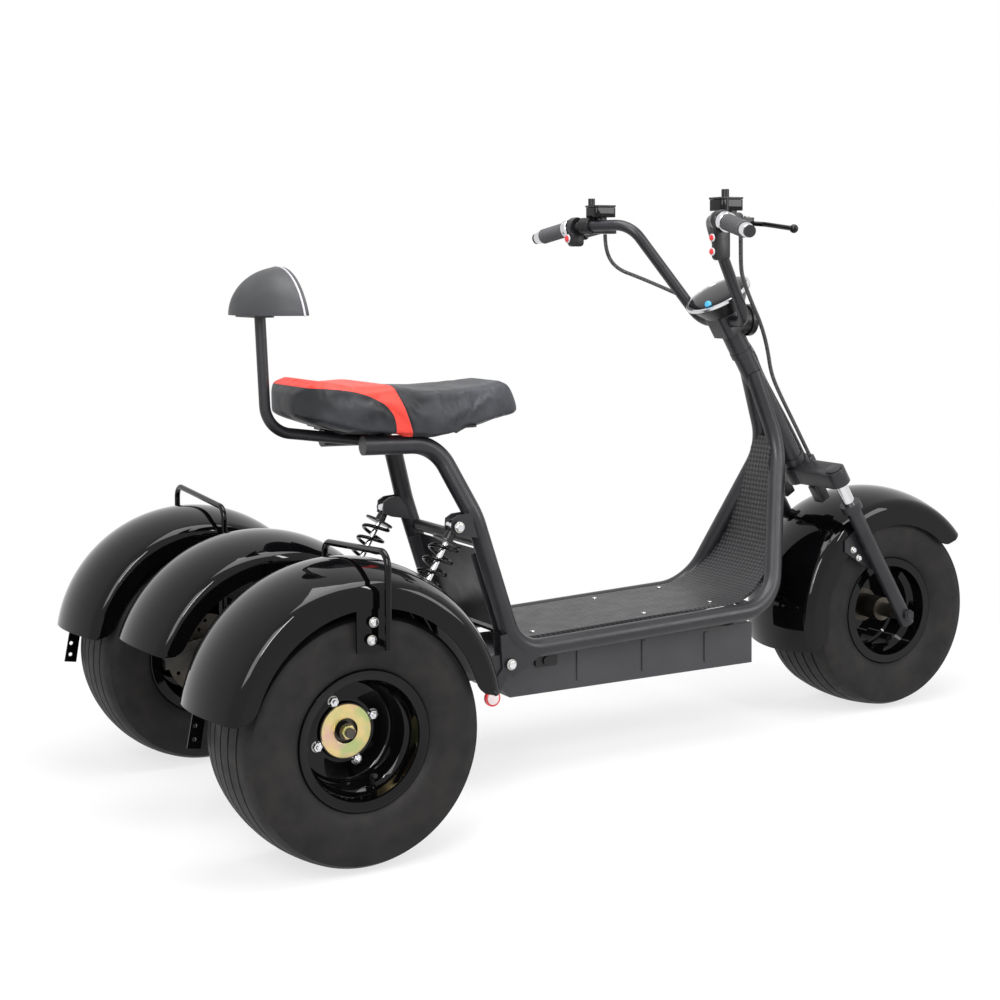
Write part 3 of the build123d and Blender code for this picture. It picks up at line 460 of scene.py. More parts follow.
@dataclass(frozen=True)
class Zinc(Finish):
    """Yellow-passivated zinc with drifting green and violet tints."""

    green: Colour = (0.45, 0.52, 0.22)

    def colour_of(self, graph: Graph) -> bpy.types.NodeSocket:
        """Gold with clouds of green and rose.

        Args:
            graph: The finish's graph.

        Returns:
            The colour's socket.
        """
        green = graph.spread(graph.noise(26, 2), 0.42, 0.62, 0, 1)
        rose = graph.spread(graph.noise(17, 3), 0.5, 0.68, 0, 0.8)
        colour = graph.blend(green, self.colour, self.green)
        return graph.blend(rose, colour, self.worn)


@dataclass(frozen=True)
class Braid(Finish):
    """Braided sleeve: crossing strands with pale flecks."""

    strand: float = 0.006
    wrap: float = 1.6

    def weave(self, graph: Graph) -> bpy.types.NodeSocket:
        """Two sets of slanted strands.

        Args:
            graph: The finish's graph.

        Returns:
            The socket of their product, high where strands cross.
        """
        x, y, z = graph.axes()
        around = graph.math("ADD", graph.math("MULTIPLY", x, self.wrap), y)
        rate = 2 * math.pi / self.strand
        first, second = (
            graph.math("SINE", graph.math("MULTIPLY", graph.math(way, around, z), rate))
            for way in ("ADD", "SUBTRACT")
        )
        return graph.math("MULTIPLY", first, second)

    def colour_of(self, graph: Graph) -> bpy.types.NodeSocket:
        """Black strands with grey ones crossing."""
        pale = graph.spread(self.weave(graph), 0.25, 0.6, 0, 1)
        return graph.blend(pale, self.colour, self.worn)

    def height_of(self, graph: Graph) -> bpy.types.NodeSocket:
        """The strands' rise."""
        return self.weave(graph)


class Finishes:
    """Every material of the scooter, made once."""

    def __init__(self) -> None:
        """Builds all finishes."""
        self.paint = Finish(
            "gloss_black_paint", (0.0012, 0.0012, 0.0014), (0.002, 0.002, 0.0024), 0.03,
            specular=0.24, grain=120, grain_depth=0.00001, gloss_drift=0.02,
        ).build()
        self.powder = Finish(
            "satin_powder_coat", (0.010, 0.010, 0.012), (0.018, 0.018, 0.021), 0.34,
            specular=0.4, scuffs=0.8, grain=1600, grain_depth=0.00003,
        ).build()
        self.plastic = Finish(
            "moulded_black_plastic", (0.006, 0.006, 0.007), (0.011, 0.011, 0.012), 0.30,
            specular=0.35, grain=2200, grain_depth=0.00004,
        ).build()
        self.case = Finish(
            "battery_case_sheet", (0.024, 0.024, 0.027), (0.032, 0.032, 0.035), 0.5,
            scuffs=0.4, grain=1400, grain_depth=0.00004,
        ).build()
        self.tyre = Finish(
            "tyre_rubber", (0.005, 0.005, 0.0055), (0.016, 0.014, 0.013), 0.58,
            specular=0.22, clouds=16, grain=420, grain_depth=0.00022,
        ).build()
        self.grip = Finish("grip_rubber", (0.045, 0.045, 0.05), (0.065, 0.065, 0.07), 0.6).build()
        self.mat = MatRubber(
            "floor_mat_rubber", (0.030, 0.030, 0.032), (0.050, 0.050, 0.053), 0.42,
            specular=0.35, grain_depth=0.0012,
        ).build()
        self.chrome = Finish(
            "bright_plating", (0.72, 0.72, 0.74), (0.60, 0.60, 0.62), 0.14,
            metal=1.0, grain=500, grain_depth=0.00001,
        ).build()
        self.steel = Finish(
            "plain_steel", (0.50, 0.49, 0.47), (0.34, 0.32, 0.29), 0.34, metal=1.0, clouds=60
        ).build()
        self.zinc = Zinc(
            "yellow_zinc", (0.72, 0.56, 0.26), (0.66, 0.40, 0.38), 0.30, metal=1.0
        ).build()
        self.disc = Finish(
            "brake_disc_steel", (0.11, 0.10, 0.09), (0.07, 0.06, 0.045), 0.45, metal=1.0, clouds=50
        ).build()
        self.vinyl = Vinyl(
            "black_vinyl", (0.026, 0.027, 0.029), (0.046, 0.047, 0.050), 0.48,
            grain=950, grain_depth=0.00009, specular=0.32,
        ).build()
        self.saddle = SaddleVinyl(
            "saddle_vinyl", (0.013, 0.0135, 0.016), (0.050, 0.052, 0.060), 0.46,
            clouds=7, grain=950, grain_depth=0.00009, specular=0.30,
        ).build()
        self.piping = Finish(
            "pale_piping", (0.46, 0.44, 0.48), (0.36, 0.35, 0.38), 0.45, grain=700
        ).build()
        self.red = Finish("red_plastic", (0.60, 0.02, 0.025), (0.48, 0.02, 0.025), 0.3).build()
        self.blue = Finish("blue_plastic", (0.03, 0.28, 0.50), (0.05, 0.36, 0.58), 0.3).build()
        self.lens = Finish(
            "pale_lens", (0.62, 0.52, 0.52), (0.75, 0.68, 0.68), 0.12,
            coat=1.0, grain=260, grain_depth=0.0004,
        ).build()
        self.glass = Finish(
            "dark_display_glass", (0.002, 0.002, 0.003), (0.003, 0.003, 0.004), 0.04,
            specular=0.2, grain=80, grain_depth=0.00001,
        ).build()
        self.casting = Finish(
            "grey_casting", (0.045, 0.043, 0.040), (0.075, 0.070, 0.060), 0.45, metal=0.5, clouds=40
        ).build()
        self.pale = Finish(
            "pale_grey_plastic", (0.50, 0.50, 0.52), (0.42, 0.42, 0.44), 0.35
        ).build()
        self.braid = Braid(
            "braided_sleeve", (0.010, 0.010, 0.011), (0.13, 0.13, 0.135), 0.5, grain_depth=0.0005
        ).build()


def deselect() -> None:
    """Leaves object mode with nothing selected."""
    if bpy.context.object and bpy.context.object.mode != "OBJECT":
        bpy.ops.object.mode_set(mode="OBJECT")
    bpy.ops.object.select_all(action="DESELECT")


def only(piece: bpy.types.Object) -> bpy.types.Object:
    """Makes one object the only selected and active one.

    Args:
        piece: The object.

    Returns:
        The same object.
    """
    deselect()
    piece.select_set(True)
    bpy.context.view_layer.objects.active = piece
    return piece


def settle(piece: bpy.types.Object, name: str, angle: float = 32) -> bpy.types.Object:
    """Bakes an object's place into its mesh and shades it.

    Args:
        piece: The new object.
        name: Its final name.
        angle: Edges sharper than this many degrees stay crisp.

    Returns:
        The same object.
    """
    only(piece)
    bpy.ops.object.transform_apply(location=True, rotation=True, scale=True)
    bpy.ops.object.shade_smooth_by_angle(angle=math.radians(angle))
    piece.name = name
    piece.data.name = name
    return piece


def add_object(name: str, data: bpy.types.ID) -> bpy.types.Object:
    """Puts a new object into the scene.

    Args:
        name: The object's name.
        data: Its mesh, curve, camera or light.

    Returns:
        The new object.
    """
    piece = bpy.data.objects.new(name, data)
    bpy.context.scene.collection.objects.link(piece)
    return piece


def edit_whole(piece: bpy.types.Object, doubles: float = 0.0, flip: bool = False) -> None:
    """Merges a mesh's doubles, or turns its faces round.

    Args:
        piece: The piece.
        doubles: Points nearer than this are merged.
        flip: True to turn the faces round.
    """
    only(piece)
    bpy.ops.object.mode_set(mode="EDIT")
    bpy.ops.mesh.select_all(action="SELECT")
    if doubles:
        bpy.ops.mesh.remove_doubles(threshold=doubles)
    if flip:
        bpy.ops.mesh.flip_normals()
    bpy.ops.object.mode_set(mode="OBJECT")


def close_ends(piece: bpy.types.Object) -> None:
    """Fills a mesh's open edges with faces and turns all faces outwards.

    Args:
        piece: The open piece.
    """
    only(piece)
    bpy.ops.object.mode_set(mode="EDIT")
    bpy.ops.mesh.select_mode(type="EDGE")
    bpy.ops.mesh.select_all(action="DESELECT")
    bpy.ops.mesh.select_non_manifold()
    bpy.ops.mesh.edge_face_add()
    bpy.ops.mesh.select_all(action="SELECT")
    bpy.ops.mesh.normals_make_consistent(inside=False)
    bpy.ops.object.mode_set(mode="OBJECT")


def draw_chain(points: Sequence[Vector]) -> bpy.types.Object:
    """Draws a chain of edges by extruding one vertex from point to point.

    Args:
        points: The chain's corners.

    Returns:
        The object, left in edit mode with all selected.
    """
    deselect()
    bpy.ops.mesh.primitive_plane_add(size=0.002, location=points[0])
    piece = bpy.context.object
    bpy.ops.object.mode_set(mode="EDIT")
    bpy.ops.mesh.select_mode(type="VERT")
    bpy.ops.mesh.select_all(action="SELECT")
    bpy.ops.mesh.merge(type="CENTER")
    for before, after in zip(points, points[1:]):
        bpy.ops.mesh.extrude_region_move(TRANSFORM_OT_translate={"value": after - before})
    bpy.ops.mesh.select_all(action="SELECT")
    return piece


def spin_chain(
    name: str, points: Sequence[Vector], centre: Vector, axis: Vector, steps: int,
    turn: float = 2 * math.pi, angle: float = 32,
) -> bpy.types.Object:
    """Spins a drawn chain round an axis into a skin.

    Args:
        name: The piece's name.
        points: The chain's corners.
        centre: A point on the axis.
        axis: The axis.
        steps: Number of steps round.
        turn: Angle of the spin.
        angle: Edges sharper than this many degrees stay crisp.

    Returns:
        The skin as an object.
    """
    piece = draw_chain(points)
    bpy.ops.mesh.spin(steps=steps, angle=turn, center=centre, axis=axis)
    bpy.ops.mesh.select_all(action="SELECT")
    bpy.ops.mesh.remove_doubles(threshold=0.00001)
    bpy.ops.mesh.normals_make_consistent(inside=False)
    bpy.ops.object.mode_set(mode="OBJECT")
    return settle(piece, name, angle)


def lathe(
    name: str, foot: Vector, axis: Vector, square: Vector, profile: Profile, steps: int = 48
) -> bpy.types.Object:
    """Spins a profile round an axis.

    Args:
        name: The piece's name.
        foot: Where the axis starts.
        axis: The axis's direction.
        square: The direction that the profile's radius is laid along.
        profile: Pairs of millimetres along the axis and radius.
        steps: Number of steps round.

    Returns:
        The turned piece.
    """
    chain = [foot + axis * along / 1000 + square * radius / 1000 for along, radius in profile]
    return spin_chain(name, chain, foot, axis, steps)


def wheel_chain(centre: Vector, side: Side, profile: Profile) -> list[Vector]:
    """Places a wheel profile of (millimetres outwards, radius) pairs above its axle."""
    return [centre + Vector((0, side.value * out / 1000, radius / 1000)) for out, radius in profile]


def tube(
    name: str, points: Sequence[Vector], radius: float, turns: int = 16
) -> bpy.types.Object:
    """Round bar along a smooth route.

    Args:
        name: The piece's name.
        points: The route's points.
        radius: Radius in metres.
        turns: Steps of the line between two points.

    Returns:
        The bar as a mesh object.
    """
    deselect()
    curve = bpy.data.curves.new(name, "CURVE")
    curve.dimensions = "3D"
    spline = curve.splines.new("NURBS")
    spline.points.add(len(points) - 1)
    for point, place in zip(spline.points, points):
        point.co = (*place, 1)
    spline.order_u = 3
    spline.use_endpoint_u = True
    curve.resolution_u = turns
    curve.bevel_depth = radius
    curve.bevel_resolution = 4
    curve.use_fill_caps = True
    only(add_object(name, curve))
    bpy.ops.object.convert(target="MESH")
    return settle(bpy.context.object, name)


def facing(direction: Vector) -> Matrix:
    """A turn that takes Z to the given direction."""
    roll = "X" if abs(direction.normalized().x) < 0.9 else "Y"
    return direction.to_track_quat("Z", roll).to_matrix().to_4x4()


def disc(
    name: str, place: Vector, direction: Vector, radius: float, depth: float, sides: int = 48,
    bevel: float = 0.0008,
) -> bpy.types.Object:
    """Short round or many-sided body with softened edges, standing on a face.

    Args:
        name: The piece's name.
        place: Centre of its foot.
        direction: The way it stands out.
        radius: Radius in metres.
        depth: How far it stands out.
        sides: Number of sides.
        bevel: Width of the softened edge.

    Returns:
        The body as an object.
    """
    deselect()
    bpy.ops.mesh.primitive_cylinder_add(vertices=sides, radius=radius, depth=depth)
    piece = bpy.context.object
    bpy.ops.object.mode_set(mode="EDIT")
    mesh = bmesh.from_edit_mesh(piece.data)
    bpy.ops.mesh.select_mode(type="EDGE")
    for edge in mesh.edges:
        edge.select_set(all(vertex.co.z > 0 for vertex in edge.verts))
    bmesh.update_edit_mesh(piece.data)
    bpy.ops.mesh.bevel(offset=bevel, segments=3)
    bpy.ops.object.mode_set(mode="OBJECT")
    turn = facing(direction)
    piece.matrix_world = Matrix.Translation(place + direction.normalized() * depth / 2) @ turn
    return settle(piece, name)


def dress(
    piece: bpy.types.Object, material: bpy.types.Material, body: Body | None = None,
    slot: str | None = None,
) -> bpy.types.Object:
    """Gives a piece its finish and its body.

    Args:
        piece: The piece.
        material: Its finish.
        body: The body that it rides on.
        slot: Not used.

    Returns:
        The same piece.
    """
    piece.data.materials.clear()
    piece.data.materials.append(material)
    if body is not None:
        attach(piece, body.value)
    log.info("piece %s", piece.name)
    return piece


def finish_modifier(piece: bpy.types.Object, kind: str, **settings: object) -> None:
    """Adds one modifier and applies it.

    Args:
        piece: The piece.
        kind: The modifier's type.
        settings: Its settings by name.
    """
    only(piece)
    modifier = piece.modifiers.new(kind.lower(), kind)
    for name, value in settings.items():
        setattr(modifier, name, value)
    bpy.ops.object.modifier_apply(modifier=modifier.name)


@dataclass
class Bolt:
    """Hex bolt with its washer."""

    name: str
    place: Vector
    direction: Vector
    body: Body
    size: float = 0.008
    thick: float = 0.006
    washer_share: float = 1.35
    washer_thick: float = 0.0015

    def build(self, finishes: Finishes) -> None:
        """Models the washer and the hex head.

        Args:
            finishes: The scooter's finishes.
        """
        out = self.direction.normalized()
        washer = disc(
            self.name + "_washer", self.place, out, self.size * self.washer_share, self.washer_thick
        )
        dress(washer, finishes.steel, self.body, "steel")
        foot = self.place + out * (self.washer_thick - 0.0001)
        head = disc(self.name + "_head", foot, out, self.size, self.thick, 6, 0.0009)
        dress(head, finishes.chrome, self.body, "chrome")


@dataclass
class Wheel:
    """Fat tyre on a deep black rim, with its nuts and valve."""

    title: str
    body: Body
    centre: Vector
    side: Side
    valve_side: Side = Side.RIGHT
    tyre_radius: float = 228.5
    shoulder: float = 89
    shoulder_drop: float = 9
    rib: float = 76
    bead_radius: float = 124
    wall_steps: int = 14
    ringed: Sequence[int] = (3, 4, 11)
    grooves: Sequence[float] = (-62, -31, 0, 31, 62)
    groove_shape: Profile = ((-2.6, 0.0), (-1.9, 5.0), (1.9, 5.0), (2.6, 0.0))
    bead: Profile = ((86, 122), (85.9, 109))
    steps: int = 128
    nut_circle: float = 0.058
    nut_seat: float = 0.005
    washer: Sequence[float] = (0.0105, 0.0015)
    nut: Sequence[float] = (0.0088, 0.007)
    stud: Sequence[float] = (0.0042, 0.0125)
    first_nut: float = 22
    valve_turn: float = -70
    valve_radius: float = 0.0042
    valve_route: Profile = ((0.094, 0.050), (0.082, 0.053), (0.074, 0.064), (0.071, 0.078))

    def tyre_profile(self) -> list[tuple[float, float]]:
        """Section of the tyre: ribbed tread, shoulder ribs, sidewall rings and bead.

        Returns:
            Pairs of millimetres outwards and radius.
        """
        crown = self.tyre_radius - 0.5

        def tread(across: float) -> tuple[float, float]:
            """A point of the tread's crown at a distance from the middle."""
            return across, crown - self.shoulder_drop * (across / self.shoulder) ** 2

        points: list[tuple[float, float]] = []
        for groove in self.grooves:
            for step, depth in self.groove_shape:
                across, radius = tread(groove + step)
                points.append((across, radius - depth))
        points = [tread(-self.shoulder), tread(-self.rib)] + points
        points += [tread(self.rib), tread(self.shoulder)]
        wall: list[tuple[float, float]] = []
        for step in range(1, self.wall_steps + 1):
            turn = step / self.wall_steps
            radius = (crown - self.shoulder_drop) * (1 - turn) + self.bead_radius * turn
            bulge = math.sin(math.pi * min(1.0, 0.16 + 0.80 * turn)) ** 0.62
            ring = 0.7 if step in self.ringed else 0.0
            tuck = 4 if step == self.wall_steps else 0
            wall.append((86 + 20.5 * bulge + ring - tuck, radius))
        wall += self.bead
        return [(-out, radius) for out, radius in reversed(wall)] + points + wall

    def rim_profile(self) -> list[tuple[float, float]]:
        """Section of the rim from its inner lip, over the well, to the disc.

        Returns:
            Pairs of millimetres outwards and radius.
        """
        return [
            (-91.5, 104.2), (-91.5, 121.5), (-90.5, 123), (-87.5, 123), (-86.5, 121.5),
            (-86.5, 107.7), (-58.5, 107.7), (-50, 100), (-46.5, 97), (46.5, 97), (50, 100),
            (58.5, 107.7), (86.5, 107.7), (86.5, 121.5), (87.5, 123), (90.3, 123), (91.5, 121.8),
            (91.5, 119), (89, 112), (87.5, 106), (84, 104.2), (62, 104.2), (56, 101), (50, 94.5),
            (44, 93.5), (16, 93.5), (9, 91), (5, 86), (5, 60), (6.5, 57), (6.5, 53), (5, 50),
            (5, 40), (0, 40), (0, 88), (-4, 93.5), (-46.5, 93.5), (-58.5, 104.2), (-91.5, 104.2),
        ]

    def nuts(self, finishes: Finishes) -> None:
        """Sets four studs with their washers and nuts round the hub.

        Args:
            finishes: The scooter's finishes.
        """
        out = self.side.out
        for number in range(4):
            turn = math.radians(self.first_nut + 90 * number)
            radial = Vector((math.cos(turn), 0, math.sin(turn)))
            place = self.centre + radial * self.nut_circle + out * self.nut_seat
            name = f"{self.title}_{number}"
            washer = disc("Wheel_washer_" + name, place, out, *self.washer)
            dress(washer, finishes.steel, self.body, "steel")
            nut = disc("Wheel_nut_" + name, place + out * 0.0013, out, *self.nut, 6, 0.001)
            dress(nut, finishes.chrome, self.body, "chrome")
            stud = disc("Wheel_stud_" + name, place, out, *self.stud)
            dress(stud, finishes.chrome, self.body, "chrome")

    def build(self, finishes: Finishes) -> None:
        """Models tyre, rim, nuts and valve.

        Args:
            finishes: The scooter's finishes.
        """
        title, centre = self.title, self.centre
        section = wheel_chain(centre, self.side, self.tyre_profile())
        tyre = spin_chain("Tyre_" + title, section, centre, ACROSS, self.steps)
        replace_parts(dress(tyre, finishes.tyre, self.body, "tyre"), "tyre_" + title)
        section = wheel_chain(centre, self.side, self.rim_profile())
        rim = spin_chain("Rim_" + title, section, centre, ACROSS, 96)
        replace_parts(dress(rim, finishes.paint, self.body, "gloss_black"), "rim_" + title)
        self.nuts(finishes)
        turn = math.radians(self.valve_turn)
        radial = Vector((math.cos(turn), 0, math.sin(turn)))
        out = self.valve_side.out
        route = [centre + radial * radius + out * across for radius, across in self.valve_route]
        valve = tube("Valve_" + title, route, self.valve_radius)
        dress(valve, finishes.tyre, self.body, "tyre")


@dataclass
class RearHubFace:
    """Yellow zinc flange of a rear hub with its recess and axle end."""

    title: str
    body: Body
    centre: Vector
    side: Side
    face: Profile = ((11.0, 48.2), (12.0, 47.2), (12.2, 24.5), (11.4, 22.4), (3, 21.9))
    nut_out: float = 0.0172
    nut_radius: float = 0.0135

    def build(self, finishes: Finishes) -> None:
        """Models the flange's face plate and the axle nut in its recess.

        Args:
            finishes: The scooter's finishes.
        """
        chain = wheel_chain(self.centre, self.side, self.face)
        plate = spin_chain("Hub_face_" + self.title, chain, self.centre, ACROSS, 72)
        dress(plate, finishes.zinc, self.body, "zinc_steel")
        out = self.side.out
        place = self.centre + out * self.nut_out
        nut = disc("Axle_nut_" + self.title, place, out, self.nut_radius, 0.008, 6, 0.001)
        dress(nut, finishes.zinc, self.body, "zinc_steel")


@dataclass
class Fender:
    """Domed sheet over a wheel with a rolled edge."""

    title: str
    body: Body
    centre: Vector
    crown: float
    shoulder: float
    edge: float
    front: float
    back: float
    half: float
    bend: float = 26
    corner: float = 34
    wall: float = 3
    wall_band: float = 0.0004
    bend_steps: int = 8
    dome_steps: int = 12
    steps: int = 72

    def section(self) -> list[tuple[float, float]]:
        """The sheet's outer section, from one wall's edge over the crown to the other's.

        Returns:
            Pairs of millimetres across and radius.
        """
        rise = self.crown - self.shoulder
        dome = (self.half**2 + rise**2) / (2 * rise)
        middle = self.crown - dome
        inner = dome - self.bend
        side_in = self.half - self.bend
        centre_r = middle + math.sqrt(inner**2 - side_in**2)
        tip = math.atan2(side_in, centre_r - middle)
        half_way = (self.edge + centre_r) / 2
        right: list[tuple[float, float]] = [(self.half, self.edge), (self.half, half_way)]
        for step in range(self.bend_steps + 1):
            share = step / self.bend_steps
            turn = (math.pi / 2) * (1 - share) + tip * share
            across = side_in + self.bend * math.sin(turn)
            right.append((across, centre_r + self.bend * math.cos(turn)))
        for step in range(1, self.dome_steps):
            turn = tip * (1 - step / self.dome_steps)
            right.append((dome * math.sin(turn), middle + dome * math.cos(turn)))
        left = [(-across, radius) for across, radius in reversed(right)]
        return right + [(0.0, self.crown)] + left

    def edge_radius(self, turn: float) -> float:
        """Radius of the wall's lower edge at an angle, rounded towards both ends.

        Args:
            turn: Angle from the front, in degrees.

        Returns:
            The edge's radius in millimetres.
        """
        reach = min(turn - self.front, self.back - turn)
        along = math.radians(max(reach, 0.0)) * self.edge
        if along >= self.corner:
            return self.edge
        return self.edge + self.corner - math.sqrt(self.corner**2 - (self.corner - along) ** 2)

    def build(self, finishes: Finishes) -> bpy.types.Object:
        """Spins the section over the wheel, rounds the corners and thickens the sheet.

        Args:
            finishes: The scooter's finishes.

        Returns:
            The fender.
        """
        name = "Fender_" + self.title
        start = math.radians(self.front)
        radial = Vector((math.cos(start), 0, math.sin(start)))
        chain = [
            self.centre + radial * radius / 1000 + Vector((0, across / 1000, 0))
            for across, radius in self.section()
        ]
        turn = math.radians(self.back - self.front)
        shell = spin_chain(name, chain, self.centre, ACROSS, self.steps, turn)
        for vertex in shell.data.vertices:
            if abs(abs(vertex.co.y - self.centre.y) - self.half / 1000) < self.wall_band:
                arm = vertex.co - self.centre
                radius = math.hypot(arm.x, arm.z) * 1000
                angle = math.degrees(math.atan2(arm.z, arm.x)) % 360
                limit = self.edge_radius(angle if angle < 300 else angle - 360)
                if radius < limit:
                    scale = limit / radius
                    vertex.co.x = self.centre.x + arm.x * scale
                    vertex.co.z = self.centre.z + arm.z * scale
        edit_whole(shell, doubles=0.0003)
        outward = sum(
            1 if polygon.normal.dot(polygon.center - self.centre) > 0 else -1
            for polygon in shell.data.polygons
        )
        if outward < 0:
            edit_whole(shell, flip=True)
        wall = self.wall / 1000
        finish_modifier(shell, "SOLIDIFY", thickness=wall, offset=-1, use_even_offset=False)
        settle(shell, name, 40)
        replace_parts(dress(shell, finishes.paint, self.body, "gloss_black"), "fender_" + self.title)
        return shell


@dataclass
class Saddle:
    """Long saddle: crowned cushion with side skirts, swept up at its nose."""

    voxel: float = 0.005
    pressure: float = 4.0
    frames: int = 20
    cap: float = 0.006
    nose_from: float = 0.470
    nose_run: float = 0.095
    nose_low: float = 0.745
    nose_rake: float = 0.36
    nose_narrow: float = 0.10
    skirt_back: Point = (378, 122, 704)
    skirt_front: Point = (438, 107.5, 719)
    skirt_top: float = 730
    skirt_thick: float = 14

    def start_shape(self) -> bpy.types.Object:
        """A copy of the saddle's solid with whole skirts, remeshed evenly.

        Returns:
            The cushion before its cover is puffed.
        """
        deselect()
        piece = add_object("Saddle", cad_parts["seat_cushion"].data.copy())
        piece.data.materials.clear()
        edit_whole(piece, doubles=0.00005)
        self.close_skirts(piece)
        finish_modifier(piece, "REMESH", mode="VOXEL", voxel_size=self.voxel)
        finish_modifier(piece, "SMOOTH", factor=0.5, iterations=7)
        self.rake_nose(piece)
        return piece

    def close_skirts(self, piece: bpy.types.Object) -> None:
        """Carries the side skirts on to the nose, where the pan's pocket ends.

        Args:
            piece: The cushion before it is remeshed.
        """
        for side in Side:
            bpy.ops.mesh.primitive_cube_add(size=1)
            skirt = bpy.context.object
            for vertex in skirt.data.vertices:
                x, outer, low = self.skirt_front if vertex.co.x > 0 else self.skirt_back
                y = outer if vertex.co.y > 0 else outer - self.skirt_thick
                vertex.co = side.at(x, y, self.skirt_top if vertex.co.z > 0 else low)
            if side is Side.RIGHT:
                edit_whole(skirt, flip=True)
            only(piece)
            skirt.select_set(True)
            bpy.ops.object.join()

    def rake_nose(self, piece: bpy.types.Object) -> None:
        """Leans the nose's front back and draws it in towards the top.

        Args:
            piece: The remeshed cushion.
        """
        for vertex in piece.data.vertices:
            ahead = min(max((vertex.co.x - REAR_AXLE_X - self.nose_from) / self.nose_run, 0.0), 1.0)
            share = ahead * ahead * (3 - 2 * ahead)
            rise = max(vertex.co.z - self.nose_low, 0.0)
            vertex.co.x -= self.nose_rake * rise * share
            vertex.co.y *= 1 - self.nose_narrow * share

    def inflate(self, piece: bpy.types.Object) -> None:
        """Swells the cover over its foam with a short cloth run, held within a few millimetres.

        Args:
            piece: The remeshed cushion.
        """
        rest = [vertex.co.copy() for vertex in piece.data.vertices]
        only(piece)
        cloth = piece.modifiers.new("cover", "CLOTH")
        cloth.settings.use_pressure = True
        cloth.settings.uniform_pressure_force = self.pressure
        cloth.settings.quality = 5
        cloth.settings.effector_weights.gravity = 0
        scene = bpy.context.scene
        for number in range(1, self.frames + 1):
            scene.frame_set(number)
        bpy.ops.object.modifier_apply(modifier=cloth.name)
        scene.frame_set(1)
        for vertex, before in zip(piece.data.vertices, rest):
            step = vertex.co - before
            if step.length > self.cap:
                vertex.co = before + step * (self.cap / step.length)

    def build(self, finishes: Finishes) -> bpy.types.Object:
        """Makes the cushion with its puffed cover.

        Args:
            finishes: The scooter's finishes.

        Returns:
            The cushion.
        """
        piece = self.start_shape()
        self.inflate(piece)
        finish_modifier(piece, "SUBSURF", levels=1, render_levels=1)
        settle(piece, "Saddle", 80)
        dress(piece, finishes.saddle, Body.CHASSIS, "seat_vinyl")
        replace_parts(piece, "seat_cushion")
        return piece


@dataclass
class BackPad:
    """Quarter-dome back pad with a pale piping at its front edge."""

    half: float = 138
    rise: float = 93
    low: float = 948
    front: float = 56
    deepen: float = 1.08
    edge: float = 0.004
    columns: int = 28
    rows: int = 24
    piping_back: float = 0.009
    piping_share: float = 0.998
    piping_radius: float = 0.0021

    def build(self, finishes: Finishes) -> None:
        """Spins the dome, swells it and sews the piping on.

        Args:
            finishes: The scooter's finishes.
        """
        base = at(self.front, 0, self.low)
        radius = (self.half**2 + self.rise**2) / (2 * self.rise)
        tip = math.asin(self.half / radius)
        arc: list[Vector] = []
        for step in range(self.columns + 1):
            turn = -tip + 2 * tip * step / self.columns
            height = self.rise - radius + radius * math.cos(turn)
            arc.append(base + Vector((0, radius * math.sin(turn) / 1000, max(height, 0.0) / 1000)))
        pad = spin_chain("Back_pad", arc, base, ACROSS, self.rows, math.pi / 2)
        close_ends(pad)
        for vertex in pad.data.vertices:
            vertex.co.x = base.x + (vertex.co.x - base.x) * self.deepen
        finish_modifier(
            pad, "BEVEL", width=self.edge, segments=4, limit_method="ANGLE",
            angle_limit=math.radians(60),
        )
        settle(pad, "Back_pad", 50)
        dress(pad, finishes.vinyl, Body.CHASSIS, "pad_vinyl")
        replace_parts(pad, "backrest_pad")
        start = base - Vector((self.piping_back, 0, 0))
        line = [start + (point - base) * self.piping_share for point in arc]
        piping = tube("Back_pad_piping", line, self.piping_radius, turns=4)
        dress(piping, finishes.piping, Body.CHASSIS)


@dataclass
class Spring:
    """Coil spring of round wire on a damper."""

    side: Side
    foot: Point = (210, 153.5, 287)
    top: Point = (350, 153.5, 530)
    low: float = 0.0703
    high: float = 0.2407
    radius: float = 0.026
    wire: float = 0.0038
    turns: float = 6.5
    steps_a_turn: int = 28

    def build(self, finishes: Finishes) -> None:
        """Winds the wire with a screw and closes its ends.

        Args:
            finishes: The scooter's finishes.
        """
        deselect()
        bpy.ops.mesh.primitive_circle_add(vertices=12, radius=self.wire, fill_type="NOTHING")
        piece = only(bpy.context.object)
        upright = Matrix.Rotation(math.pi / 2, 4, "X")
        piece.matrix_world = Matrix.Translation((self.radius, 0, 0)) @ upright
        bpy.ops.object.transform_apply(location=True, rotation=True, scale=True)
        steps = int(self.turns * self.steps_a_turn)
        finish_modifier(
            piece, "SCREW", angle=self.turns * 2 * math.pi, screw_offset=self.high - self.low,
            steps=steps, render_steps=steps, iterations=1, axis="Z",
        )
        close_ends(piece)
        foot, top = self.side.at(*self.foot), self.side.at(*self.top)
        run = (top - foot).normalized()
        piece.matrix_world = Matrix.Translation(foot + run * self.low) @ facing(run)
        settle(piece, "Spring_" + self.side.label, 60)
        dress(piece, finishes.paint, Body.CHASSIS, "gloss_black")
        if self.side is Side.RIGHT:
            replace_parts(piece, "springs")


